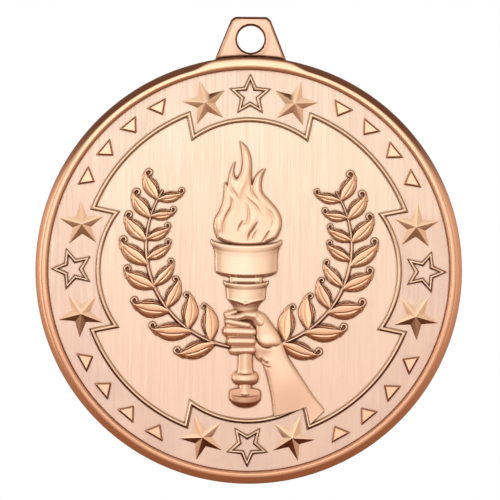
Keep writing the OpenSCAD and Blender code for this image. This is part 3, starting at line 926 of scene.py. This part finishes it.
def leafEdges(eye, width, curl):
    # Back edge, which runs on into the curl, and front edge; the last value is the
    # number of points in the back edge before the curl
    stalk = 0.10             # half the leaf's width where it leaves the stem
    back, front = [], []
    for t in np.linspace(0, 1, 26):
        here = leafMiddle(eye, curl, t)
        way = leafMiddle(eye, curl, min(t + 0.01, 1)) - leafMiddle(eye, curl, max(t - 0.01, 0))
        side = leftOf(way)
        swell = (width / 2 - 0.1) * math.sin(math.pi * t ** 0.9) ** 0.9 if 0 < t < 1 else 0
        back.append(here - side * (stalk * (1 - t) + swell))
        if t < 0.93:
            front.append(here + side * (stalk * (1 - t) + swell * (1 + 0.10 * math.sin(math.pi * t))))
    front.append(eye + polar(curl * 0.95, wreath["curlStart"] - 75))
    return back + curlPath(eye, curl)[1:], front, len(back)


def roundRail(gap, radius, rise):
    # A half-round rail along a line, steep outside
    inside = rise * np.sqrt(np.clip(1 - (gap / radius) ** 2, 0, 1))
    return np.where(gap < radius, inside, (radius - gap) * 4)


def leafHeight(eye, width, curl):
    backEdge, frontEdge, turnAt = leafEdges(eye, width, curl)
    spine = backEdge[:turnAt]
    outline = np.array(spine + frontEdge[::-1])
    veinLine = []
    for t in np.linspace(0.08, 0.86, 20):
        here = leafMiddle(eye, curl, t)
        veinLine.append(here + (spine[round(t * (turnAt - 1))] - here) * 0.2)
    gapLine = []             # the open crescent, just inside the front edge
    for i, (b, f) in enumerate(zip(backEdge, frontEdge)):
        share = min(i / (len(frontEdge) - 1) * 1.02, 1)
        gapLine.append(f + (b - f) * (0.06 + 0.09 * math.sin(math.pi * share ** 1.4)))

    def heightAt(x, y):
        inside = signedInside(x, y, outline)
        toSpine, _ = lineDistance(x, y, spine)
        toFront, _ = lineDistance(x, y, frontEdge)
        # The blade rises from its back edge and rounds off all round
        across = toSpine / np.maximum(toSpine + toFront, 0.01)
        rise = wreath["leafHeight"] * (0.22 + 0.78 * rounded(across, 0.8))
        body = rise * (0.55 + 0.45 * rounded(np.maximum(inside, 0), 0.25))
        toVein, along = lineDistance(x, y, veinLine)
        vein = wreath["veinDepth"] * np.exp(-(toVein / wreath["veinWidth"]) ** 2)
        vein = vein * smooth(along / 0.25) * smooth((1 - along) / 0.3)
        body = np.where(inside > 0, body - vein, inside * 4)
        toGap, along = lineDistance(x, y, gapLine)
        gapWidth = 0.045 + 0.11 * np.sin(np.pi * np.clip(along, 0, 1) ** 1.4) * width / 2
        cut = np.exp(-(toGap / gapWidth) ** 4) * smooth(along / 0.2) * smooth((1.02 - along) / 0.1)
        body = np.where(inside > 0, body * (1 - cut) + wreath["gapFloor"] * cut, body)
        toBack, along = lineDistance(x, y, backEdge[turnAt - 5:])
        backRise = wreath["backRise"] + wreath["curlRise"] * smooth(along / 0.3)
        backRail = roundRail(toBack, curl * wreath["neck"], backRise)
        frontRail = roundRail(toFront, wreath["frontRail"], wreath["frontRise"])
        return np.maximum(np.maximum(body, backRail), frontRail)

    return heightAt


def leafRow(name, row, curl, sag, turn, mirror, node):
    # Each leaf is shaped lying along x from its foot, then turned to reach its curl
    parts = []
    for angle, eyeAt, width in row:
        foot = stemAt(angle)
        reach = np.array(eyeAt) - foot
        size = np.linalg.norm(reach)
        spin = spinMatrix(math.atan2(reach[1], reach[0]) - math.radians(sag) * turn)
        eye = size * polar(1, sag)

        def place(flat, spin=spin, foot=foot):
            q = (flat * (1, turn)) @ spin.T + foot
            return q * (mirror, 1)

        low, high = (-0.3, -width / 2 - 0.5), (size + curl + 0.2, eye[1] + curl + 0.3)
        parts.append(patchMesh(low, high, wreath["step"], leafHeight(eye, width, curl), place))
    points, faces = joined(parts)
    addPiece(name, points, faces, leafMetal, (node,), sharp=70)


def makeStem(name, mirror, first, node):
    steps = 110
    section = railSection(wreath["stemWidth"], wreath["stemHeight"])
    points = []
    for i in range(steps + 1):
        a = first + (wreath["last"] - first) * i / steps
        here = stemAt(a)
        side = leftOf(stemAt(a + 0.5) - stemAt(a - 0.5))
        taper = 1 - wreath["stemTaper"] * float(smooth((i / steps - 0.5) / 0.5))
        for off, h in section:
            q = here + side * off * taper
            points.append((mirror * q[0], q[1], h))
    size = len(section)
    faces = bandFaces(steps + 1, size, closed=False)
    faces.append(tuple(range(size)))
    faces.append(tuple(steps * size + k for k in range(size))[::-1])
    addPiece(name, points, faces, stemMetal, (node,), sharp=60)


makeStem("left_stem", 1, wreath["first"], "stem_left")
makeStem("right_stem", -1, wreath["firstRight"], "stem_right")
for side, mirror in (("left", 1), ("right", -1)):
    for row, turn in (("outer", -1), ("inner", 1)):
        leafRow(f"{side}_{row}_leaves", wreath[row], wreath[row + "Curl"], wreath[row + "Sag"],
                turn, mirror, f"leaves_{side}_{row}")
print("wreath made")


fine = 0.06              # grid step of the torch, flame and hand
finer = fine * 0.8       # for the small turned parts
finest = fine * 0.7      # for the fingers
torchX = -0.3

# Each turned part: where it lies, how far its ends bow down, how high it stands and how
# much of that follows its radius, its eased edge and foot, and its profile as pairs of
# place up the torch and radius there
torch = {
    "bowl": {"box": ((-4.9, -1.2), (4.3, 4.0)),
             "dip": 0.76, "height": 0.86, "relief": 0.55, "edge": 0.2, "foot": 0.42,
             "profile": [(-0.12, 3.58), (0.1, 3.64), (1.6, 3.66), (2.3, 3.72), (2.8, 3.86), (3.1, 4.06),
                         (3.4, 4.20), (3.72, 4.12)]},
    "cup": {"box": ((-3.3, -5.1), (2.7, -0.2)),
            "dip": 0.42, "height": 0.78, "relief": 0.6, "edge": 0.16, "foot": 0.2,
            "profile": [(-4.55, 1.35), (-3.95, 1.62), (-3.35, 2.12), (-3.18, 2.27), (-2.2, 2.33),
                        (-1.85, 2.38), (-1.6, 2.55), (-1.4, 2.66), (-1.12, 2.64)]},
    "grip": {"box": ((-1.7, -12.4), (1.1, -9.0)),
             "dip": 0.1, "height": 0.6, "relief": 0.5, "edge": 0.12, "foot": 0.1,
             "profile": [(-12.1, 1.05), (-11.8, 0.98), (-11.4, 0.88), (-9.3, 0.85)]},
    "collar": {"box": ((-2.2, -13.6), (1.6, -11.7)),
               "dip": 0.25, "height": 0.75, "relief": 0.8, "edge": 0.42, "foot": 0.6,
               "profile": [(-13.2, 1.25), (-12.95, 1.5), (-12.55, 1.6), (-12.15, 1.5), (-11.8, 1.2)]},
    "neck": {"box": ((-1.3, -14.7), (0.7, -12.9)),
             "dip": 0.15, "height": 0.5, "relief": 0.5, "edge": 0.16, "foot": 0.1,
             "profile": [(-14.5, 0.85), (-14.1, 0.72), (-13.0, 0.72)]},
    "pommel": {"box": ((-2.5, -16.3), (1.9, -13.4)),
               "dip": 0.55, "height": 0.80, "relief": 1.0, "edge": 0.2, "foot": 0.7,
               "profile": [(-15.5, 1.3), (-15.3, 1.6), (-14.95, 1.8), (-14.35, 1.85), (-14.2, 1.82)]},
}
throat = {"half": 1.95, "low": -1.7, "top": -0.3, "height": 0.34, "edge": 0.5}
pommelTop = {"half": 1.85, "low": -15.2, "top": -14.2, "bow": 0.5, "height": 0.34, "edge": 0.15}
cupBand = {              # the lower edge of the band round the cup
    "edge": [(-2.7, -3.35), (-1.9, -3.58), (-1.21, -3.77), (-0.37, -4.06), (0.3, -3.85), (0.82, -3.71),
             (2.1, -3.42)],
    "step": 0.13, "lip": 0.04, "lipWidth": 0.12,
}


def turnedHeight(x, y, part):
    # Half of a turned piece: its ends bow down by dip, and radius follows the profile
    vs, rs = zip(*part["profile"])
    reach = max(rs)
    r = reach
    for _ in range(4):       # the bow depends on the radius, which depends on the bow
        u = np.clip((x - torchX) / r, -1, 1)
        v = y + part["dip"] * np.sqrt(1 - u * u)
        r = np.interp(v, vs, rs)
    w = np.abs((x - torchX) / r)
    body = np.where(w < 1, 1 - 0.62 * w ** 1.6 - 0.38 * w ** 8, (1 - w) * 6)
    rise = part["height"] * (0.25 + 0.75 * body) * (1 - part["relief"] * (1 - r / reach))
    ends = np.minimum(v - vs[0], vs[-1] - v)
    gap = np.minimum(ends, r - np.abs(x - torchX))
    edge = np.minimum(rounded(gap, part["edge"]), rounded(np.maximum(v - vs[0], 0), part["foot"]))
    h = rise * np.where(gap >= 0, 0.35 + 0.65 * edge, 1)
    return np.where(gap >= 0, h, gap * 3)


def throatHeight(x, y):
    # Between the bowl and the cup
    inward = np.minimum(y - throat["low"], throat["top"] - y)
    gap = np.minimum(throat["half"] - np.abs(x - torchX), inward)
    return throat["height"] * rounded(gap, throat["edge"])


def cupHeight(x, y):
    h = turnedHeight(x, y, torch["cup"])
    edgeX, edgeY = np.array(cupBand["edge"]).T
    under = np.interp(x.ravel(), edgeX, edgeY).reshape(x.shape) - y
    step = cupBand["step"] * smooth(under / 0.16 + 0.5)
    lip = cupBand["lip"] * np.exp(-((under + cupBand["lipWidth"]) / cupBand["lipWidth"]) ** 2)
    return np.maximum(np.where(h > 0, h - step + lip, h), throatHeight(x, y))


def pommelHeight(x, y):
    # The turned ball with a flat disc on its top
    u = np.clip((x - torchX) / pommelTop["half"], -1, 1)
    bowed = pommelTop["top"] + pommelTop["bow"] * np.sqrt(1 - u * u)
    inward = np.minimum(y - pommelTop["low"], pommelTop["half"] - np.abs(x - torchX))
    disc = pommelTop["height"] * rounded(np.minimum(bowed - y, inward), pommelTop["edge"])
    return np.maximum(turnedHeight(x, y, torch["pommel"]), disc)


def torchPatch(part, step, material, heightAt=None):
    heightAt = heightAt or (lambda x, y: turnedHeight(x, y, torch[part]))
    reliefPatch(part, torch[part]["box"], step, heightAt, material, ("torch_" + part,))


torchPatch("bowl", fine, torchMetal)
torchPatch("cup", fine, torchMetal, cupHeight)
for part in ("grip", "collar", "neck"):
    torchPatch(part, finer, gripMetal)
torchPatch("pommel", finer, pommelMetal, pommelHeight)
print("torch made")


flame = {
    "box": ((-4.6, 2.4), (4.2, 15.6)), "height": 0.44, "edge": 0.4,
    "outline": [
        [(-3.75, 3.7), (-4.13, 4.9), (-4.05, 6.0), (-3.5, 7.0), (-3.08, 8.3), (-3.0, 9.4), (-2.9, 10.4)],
        [(-2.9, 10.4), (-2.72, 10.2), (-2.6, 10.0)],
        [(-2.6, 10.0), (-2.4, 11.2), (-2.05, 12.2), (-1.6, 12.85)],
        [(-1.6, 12.85), (-1.8, 11.9), (-1.75, 11.2), (-1.5, 10.75)],
        [(-1.5, 10.75), (-1.05, 11.6), (-0.9, 12.7), (-1.0, 14.0), (-1.2, 15.2)],
        [(-1.2, 15.2), (-0.3, 14.4), (0.2, 13.0), (0.25, 11.2), (0.3, 10.1)],
        [(0.3, 10.1), (0.7, 11.15), (1.3, 11.75), (1.95, 12.0)],
        [(1.95, 12.0), (1.5, 10.8), (1.5, 9.3), (2.5, 8.1), (3.5, 6.8), (3.82, 5.6), (3.6, 4.5),
         (3.2, 3.75)],
        [(3.2, 3.75), (2.2, 3.3), (1.2, 2.95), (-0.3, 2.85), (-1.7, 2.95), (-2.9, 3.3), (-3.75, 3.7)],
    ],
    # curve, width, depth; those with a depth below 0 are the soft crests of the tongues
    "folds": [
        ([(-1.3, 4.3), (-1.17, 4.99), (-0.94, 5.44), (-0.61, 5.95)], 0.085, 0.13),
        ([(-0.14, 3.3), (-0.10, 3.65), (0.06, 4.27), (0.46, 4.83), (0.85, 5.39), (1.13, 5.84)], 0.085, 0.17),
        ([(0.3, 3.45), (0.5, 3.9), (0.72, 4.35), (1.0, 4.8)], 0.08, 0.08),
        ([(1.35, 3.05), (1.86, 3.76), (2.19, 4.32), (2.47, 4.77)], 0.09, 0.12),
        ([(2.3, 4.5), (2.7, 5.2), (2.82, 5.9), (2.6, 6.6), (2.2, 7.1), (1.6, 7.6)], 0.16, 0.05),
        ([(-2.68, 8.92), (-2.23, 8.52), (-2.06, 8.08), (-2.12, 7.4), (-2.46, 6.73), (-2.74, 6.17),
          (-2.96, 5.27), (-2.93, 4.15), (-2.79, 3.5)], 0.13, 0.13),
        ([(-1.5, 5.0), (-0.38, 5.39), (-0.10, 6.12), (-0.05, 6.79), (-0.27, 7.57), (-1.0, 8.6)], 0.13, 0.07),
        ([(-0.9, 9.3), (-0.3, 8.5), (0.18, 8.02), (0.79, 7.46), (1.2, 6.7), (1.3, 5.9)], 0.14, 0.06),
        ([(-2.3, 10.3), (-2.0, 9.4), (-1.5, 8.6), (-1.3, 7.6)], 0.16, 0.07),
        ([(0.3, 10.3), (0.25, 9.5), (0.5, 8.8), (1.1, 8.0)], 0.14, 0.08),
        ([(-0.75, 14.0), (-0.45, 12.3), (-0.6, 10.6), (-1.2, 9.2), (-1.6, 7.6), (-1.7, 5.6)], 0.40, -0.07),
        ([(1.6, 11.3), (1.05, 10.2), (1.1, 9.0), (1.7, 7.8), (1.9, 6.4), (1.7, 5.0)], 0.40, -0.06),
        ([(0.5, 6.9), (0.5, 5.9), (-0.1, 4.9), (-0.55, 3.9)], 0.35, -0.05),
        ([(-3.4, 6.2), (-3.5, 5.2), (-3.3, 4.3)], 0.30, -0.06),
    ],
}


def flameHeight(x, y):
    gap = signedInside(x, y, closedOutline(flame["outline"]))
    h = flame["height"] * rounded(gap, flame["edge"])
    inner = smooth(gap / 0.35)       # folds keep off the outline
    for points, width, depth in flame["folds"]:
        h = h - inner * groove(x, y, points, width, depth, 0.4)
    return np.where(gap > 0, np.maximum(h, 0.03), gap * 3)


reliefPatch("flame_body", flame["box"], fine, flameHeight, flameMetal, ("flame",))
print("flame made")


def lump(x, y, a, b, ra, rb, height, full=2.2):
    # A round-ended limb from a to b, radius ra to rb; the larger full is, the flatter
    a, b = np.array(a, dtype=float), np.array(b, dtype=float)
    d = b - a
    t = np.clip(((x - a[0]) * d[0] + (y - a[1]) * d[1]) / float(d @ d), 0, 1)
    gap = np.hypot(x - a[0] - t * d[0], y - a[1] - t * d[1])
    s = gap / (ra + (rb - ra) * t)
    return np.where(s < 1, height * np.sqrt(np.clip(1 - s ** full, 0, 1)), -height * (s - 1) * 2.5)


hand = {
    "fingersBox": ((-3.4, -10.2), (1.3, -5.2)), "thumbBox": ((-3.3, -7.2), (2.6, -4.0)),
    # from, to, the radius at both ends, height
    "fingers": [
        ((-2.3, -6.0), (0.0, -6.42), 0.46, 0.42, 0.72),
        ((-2.42, -7.12), (0.5, -7.22), 0.62, 0.56, 0.88),
        ((-2.0, -8.3), (0.5, -8.3), 0.58, 0.56, 0.84),
        ((-1.72, -9.36), (0.5, -9.3), 0.52, 0.50, 0.78),
    ],
    "thumb": {
        "behind": ((-2.45, -5.2), (-1.5, -4.85), 0.42, 0.3, 0.56),
        "tip": ((-2.3, -5.5), (-1.3, -5.55), 0.42, 0.5, 0.76),
        "mid": ((-1.3, -5.52), (-0.2, -5.2), 0.5, 0.55, 0.84),
        "knuckle": ((-0.2, -5.2), (0.75, -5.3), 0.56, 0.68, 0.90),
        "root": ((0.75, -5.3), (1.5, -6.1), 0.68, 0.85, 0.88),
    },
    # what shows between and behind the fingers
    "fist": [
        [(-2.5, -5.9), (-2.75, -7.1), (-2.3, -8.3), (-1.95, -9.4), (-1.5, -9.75)],
        [(-1.5, -9.75), (0.8, -9.7)],
        [(0.8, -9.7), (1.0, -8.4), (0.9, -7.2), (0.5, -6.3), (-0.2, -5.9)],
        [(-0.2, -5.9), (-2.5, -5.9)],
    ],
    "fistHeight": 0.50, "fistEdge": 0.3,
}


def fingersHeight(x, y):
    h = np.full(x.shape, -1.0)
    for finger in hand["fingers"]:
        h = np.maximum(h, lump(x, y, *finger, 3.0))
    gap = signedInside(x, y, closedOutline(hand["fist"]))
    fist = np.where(gap > 0, hand["fistHeight"] * rounded(gap, hand["fistEdge"]), gap * 4)
    return blendMax(h, fist, 0.04)


def thumbHeight(x, y):
    limb = {name: lump(x, y, *shape) for name, shape in hand["thumb"].items()}
    soft = 0.12              # how far two limbs melt together
    end = blendMax(limb["tip"], limb["mid"], soft)
    base = blendMax(limb["knuckle"], limb["root"], soft)
    return np.maximum(blendMax(end, base, soft), limb["behind"])


# From the top of the hand down its right side
outerSide = [(0.9, -4.72), (1.42, -4.9), (1.96, -5.2), (2.49, -5.86), (3.09, -6.69), (3.51, -7.29),
             (3.81, -7.83)]
arm = {
    "box": ((0.3, -18.4), (9.4, -4.2)),
    "right": outerSide + [(4.1, -8.6), (4.7, -10.1), (5.5, -11.4), (6.5, -12.9), (7.7, -14.7),
                          (8.6, -15.75), (9.0, -16.3)],
    # the cut end of the forearm, with a notch
    "foot": [[(9.0, -16.3), (7.35, -18.0)], [(7.35, -18.0), (6.85, -15.95)],
             [(6.85, -15.95), (5.2, -16.5), (3.12, -17.05)]],
    "left": [(3.12, -17.05), (2.85, -15.0), (2.35, -12.7), (2.0, -11.5), (1.55, -10.55)],
    "heel": [(1.55, -10.55), (1.18, -10.5), (0.82, -9.9), (0.6, -9.0), (0.7, -7.6), (0.8, -6.3),
             (0.9, -4.72)],
    # the swelling at the root of the thumb
    "ball": [(0.2, -5.0)] + outerSide + [
        (3.9, -8.3), (3.5, -8.75), (2.85, -8.85), (2.26, -8.96), (1.66, -8.78), (1.12, -8.25),
        (0.79, -7.41), (0.82, -6.45), (0.2, -5.0)],
    "height": 0.46, "crown": 0.14, "edge": 0.40, "ballHeight": 0.22, "ballEdge": 0.9,
    "ballCrease": 0.26, "wristDip": 0.07, "rest": 0.10,
    "sunk": 0.55,            # share of its height that the arm loses towards its end
    # curve, width, depth of the creases by the heel of the hand
    "creases": [([(1.5, -10.35), (2.0, -10.75), (2.5, -10.8)], 0.11, 0.20),
                ([(1.75, -10.95), (2.2, -11.3), (2.7, -11.3)], 0.11, 0.13)],
}


def armHeight(x, y):
    outline = closedOutline([arm["right"], *arm["foot"], arm["left"], arm["heel"]])
    inside = signedInside(x, y, outline)
    toRight, _ = lineDistance(x, y, openCurve(arm["right"]))
    toLeft, _ = lineDistance(x, y, openCurve(arm["left"] + arm["heel"][1:]))
    across = toRight / np.maximum(toRight + toLeft, 0.01)
    shell = arm["height"] * (0.35 + 0.65 * rounded(np.minimum(toRight, toLeft), arm["edge"]))
    shell = shell + arm["crown"] * (1 - (2 * across - 1) ** 2)
    ball = signedInside(x, y, closedOutline([arm["ball"]]))
    swell = arm["ballHeight"] * rounded(np.maximum(ball, 0), arm["ballEdge"])
    rest = smooth((-7.4 - y) / 1.3) * arm["rest"]      # the forearm below the ball stands higher
    crease = arm["ballCrease"] * np.exp(-((ball + 0.02) / 0.11) ** 2)
    h = shell + swell + rest - crease * smooth((-6.2 - y) / 0.8) * smooth((3.2 - x) / 1.0)
    for points, width, depth in arm["creases"]:
        h = h - groove(x, y, points, width, depth, 0.3)
    wrist = np.exp(-((y + 9.9) / 0.7) ** 2) * arm["wristDip"] * smooth((3.5 - x) / 1.5)
    fade = 1 - arm["sunk"] * smooth((0.6 * x - 0.8 * y - 12.0) / 7.4)
    return np.where(inside > 0, np.maximum((h - wrist) * fade, 0.03), inside * 3)


reliefPatch("finger_set", hand["fingersBox"], finest, fingersHeight, handMetal, ("fingers",))
reliefPatch("thumb_bend", hand["thumbBox"], finest, thumbHeight, handMetal, ("thumb",))
reliefPatch("palm_and_forearm", arm["box"], fine, armHeight, handMetal, ("palm", "forearm"))
print("hand made")


# below the medal and half its width, in metres
floorLook = {"below": 0.10, "half": 0.45, "color": (0.85, 0.83, 0.81, 1), "rough": 0.8}


def makeStage():
    # A pale floor under the medal, which the plate doesn't mirror
    floorZ, half = rimLow.z - floorLook["below"], floorLook["half"]
    mesh = bpy.data.meshes.new("floor")
    corners = [(-half, -half, floorZ), (half, -half, floorZ), (half, half, floorZ), (-half, half, floorZ)]
    mesh.from_pydata(corners, [], [(0, 1, 2, 3)])
    floor = bpy.data.objects.new("floor", mesh)
    bpy.context.scene.collection.objects.link(floor)
    paint = bpy.data.materials.new("paleFloor")
    paint.use_nodes = True
    shader = paint.node_tree.nodes["Principled BSDF"]
    shader.inputs["Base Color"].default_value = floorLook["color"]
    shader.inputs["Roughness"].default_value = floorLook["rough"]
    mesh.materials.append(paint)
    floor.visible_glossy = False


lamps = {                # place, width and height in metres, watts
    "frontPanel": ((-0.04, -0.50, 0.10), (0.44, 0.40), 0.41),
    "keyLamp": ((-0.03, -0.48, 0.03), (0.10, 0.10), 0.05),
    "leftStrip": ((-0.50, -0.16, 0.0), (0.12, 0.5), 0.44),
    "rightStrip": ((0.50, -0.16, 0.0), (0.10, 0.5), 0.10),
}


def makeLamp(name, place, size, power):
    lamp = bpy.data.lights.new(name, "AREA")
    lamp.shape = "RECTANGLE"
    lamp.size, lamp.size_y = size
    lamp.energy = power
    holder = bpy.data.objects.new(name, lamp)
    holder.location = place
    aim = Vector((0, 0, discZ)) - Vector(place)
    holder.rotation_euler = aim.to_track_quat("-Z", "Y").to_euler()
    bpy.context.scene.collection.objects.link(holder)


# What the plate mirrors, from the floor up; the camera itself sees plain white
room = {"floor": (0.36, 0.18, 0.10), "walls": (0.74, 0.52, 0.39), "ceiling": (0.80, 0.68, 0.56)}


def makeWorld():
    world = bpy.data.worlds.new("studio")
    bpy.context.scene.world = world
    world.use_nodes = True
    tree = world.node_tree
    tree.nodes.clear()
    out = tree.nodes.new("ShaderNodeOutputWorld")
    seen = tree.nodes.new("ShaderNodeBackground")
    seen.inputs["Color"].default_value = (1, 1, 1, 1)
    mirrored = tree.nodes.new("ShaderNodeBackground")
    for background in (seen, mirrored):
        background.inputs["Strength"].default_value = 1.0
    way = tree.nodes.new("ShaderNodeTexCoord")
    height = splitAxes(tree, way.outputs["Generated"]).outputs["Z"]
    low = rangeNode(tree, height, -0.85, 0.05)
    high = rangeNode(tree, height, 0.1, 0.9)
    lower = mixColor(tree, low, room["floor"], room["walls"])
    link(tree, mixColor(tree, high, lower, room["ceiling"]), mirrored.inputs["Color"])
    path = tree.nodes.new("ShaderNodeLightPath")
    mix = tree.nodes.new("ShaderNodeMixShader")
    link(tree, path.outputs["Is Camera Ray"], mix.inputs[0])
    link(tree, mirrored.outputs[0], mix.inputs[1])
    link(tree, seen.outputs[0], mix.inputs[2])
    link(tree, mix.outputs[0], out.inputs[0])


camera = {
    "away": 0.45, "near": 0.01, "far": 20,     # metres
    "sensor": 36.0,
    "frameWidth": 58.55,     # what the frame takes in at the medal, in mm
    "aimX": 0.13, "aimUp": 2.40,               # off the disc's middle, in mm
    "roll": 0.5,             # degrees
}


def makeCamera():
    data = bpy.data.cameras.new("view")
    data.sensor_width = camera["sensor"]
    data.lens = camera["sensor"] * camera["away"] / (camera["frameWidth"] * mm)
    data.clip_start, data.clip_end = camera["near"], camera["far"]
    holder = bpy.data.objects.new("view", data)
    bpy.context.scene.collection.objects.link(holder)
    turn = Matrix.Rotation(math.radians(90), 4, "X") @ Matrix.Rotation(math.radians(camera["roll"]), 4, "Z")
    place = Matrix.Translation((camera["aimX"] * mm, fieldY - camera["away"], discZ + camera["aimUp"] * mm))
    holder.matrix_world = place @ turn
    bpy.context.scene.camera = holder


makeStage()
makeWorld()
for name, (place, size, power) in lamps.items():
    makeLamp(name, place, size, power)
makeCamera()
bpy.context.scene.view_settings.view_transform = "Standard"
print("stage made")
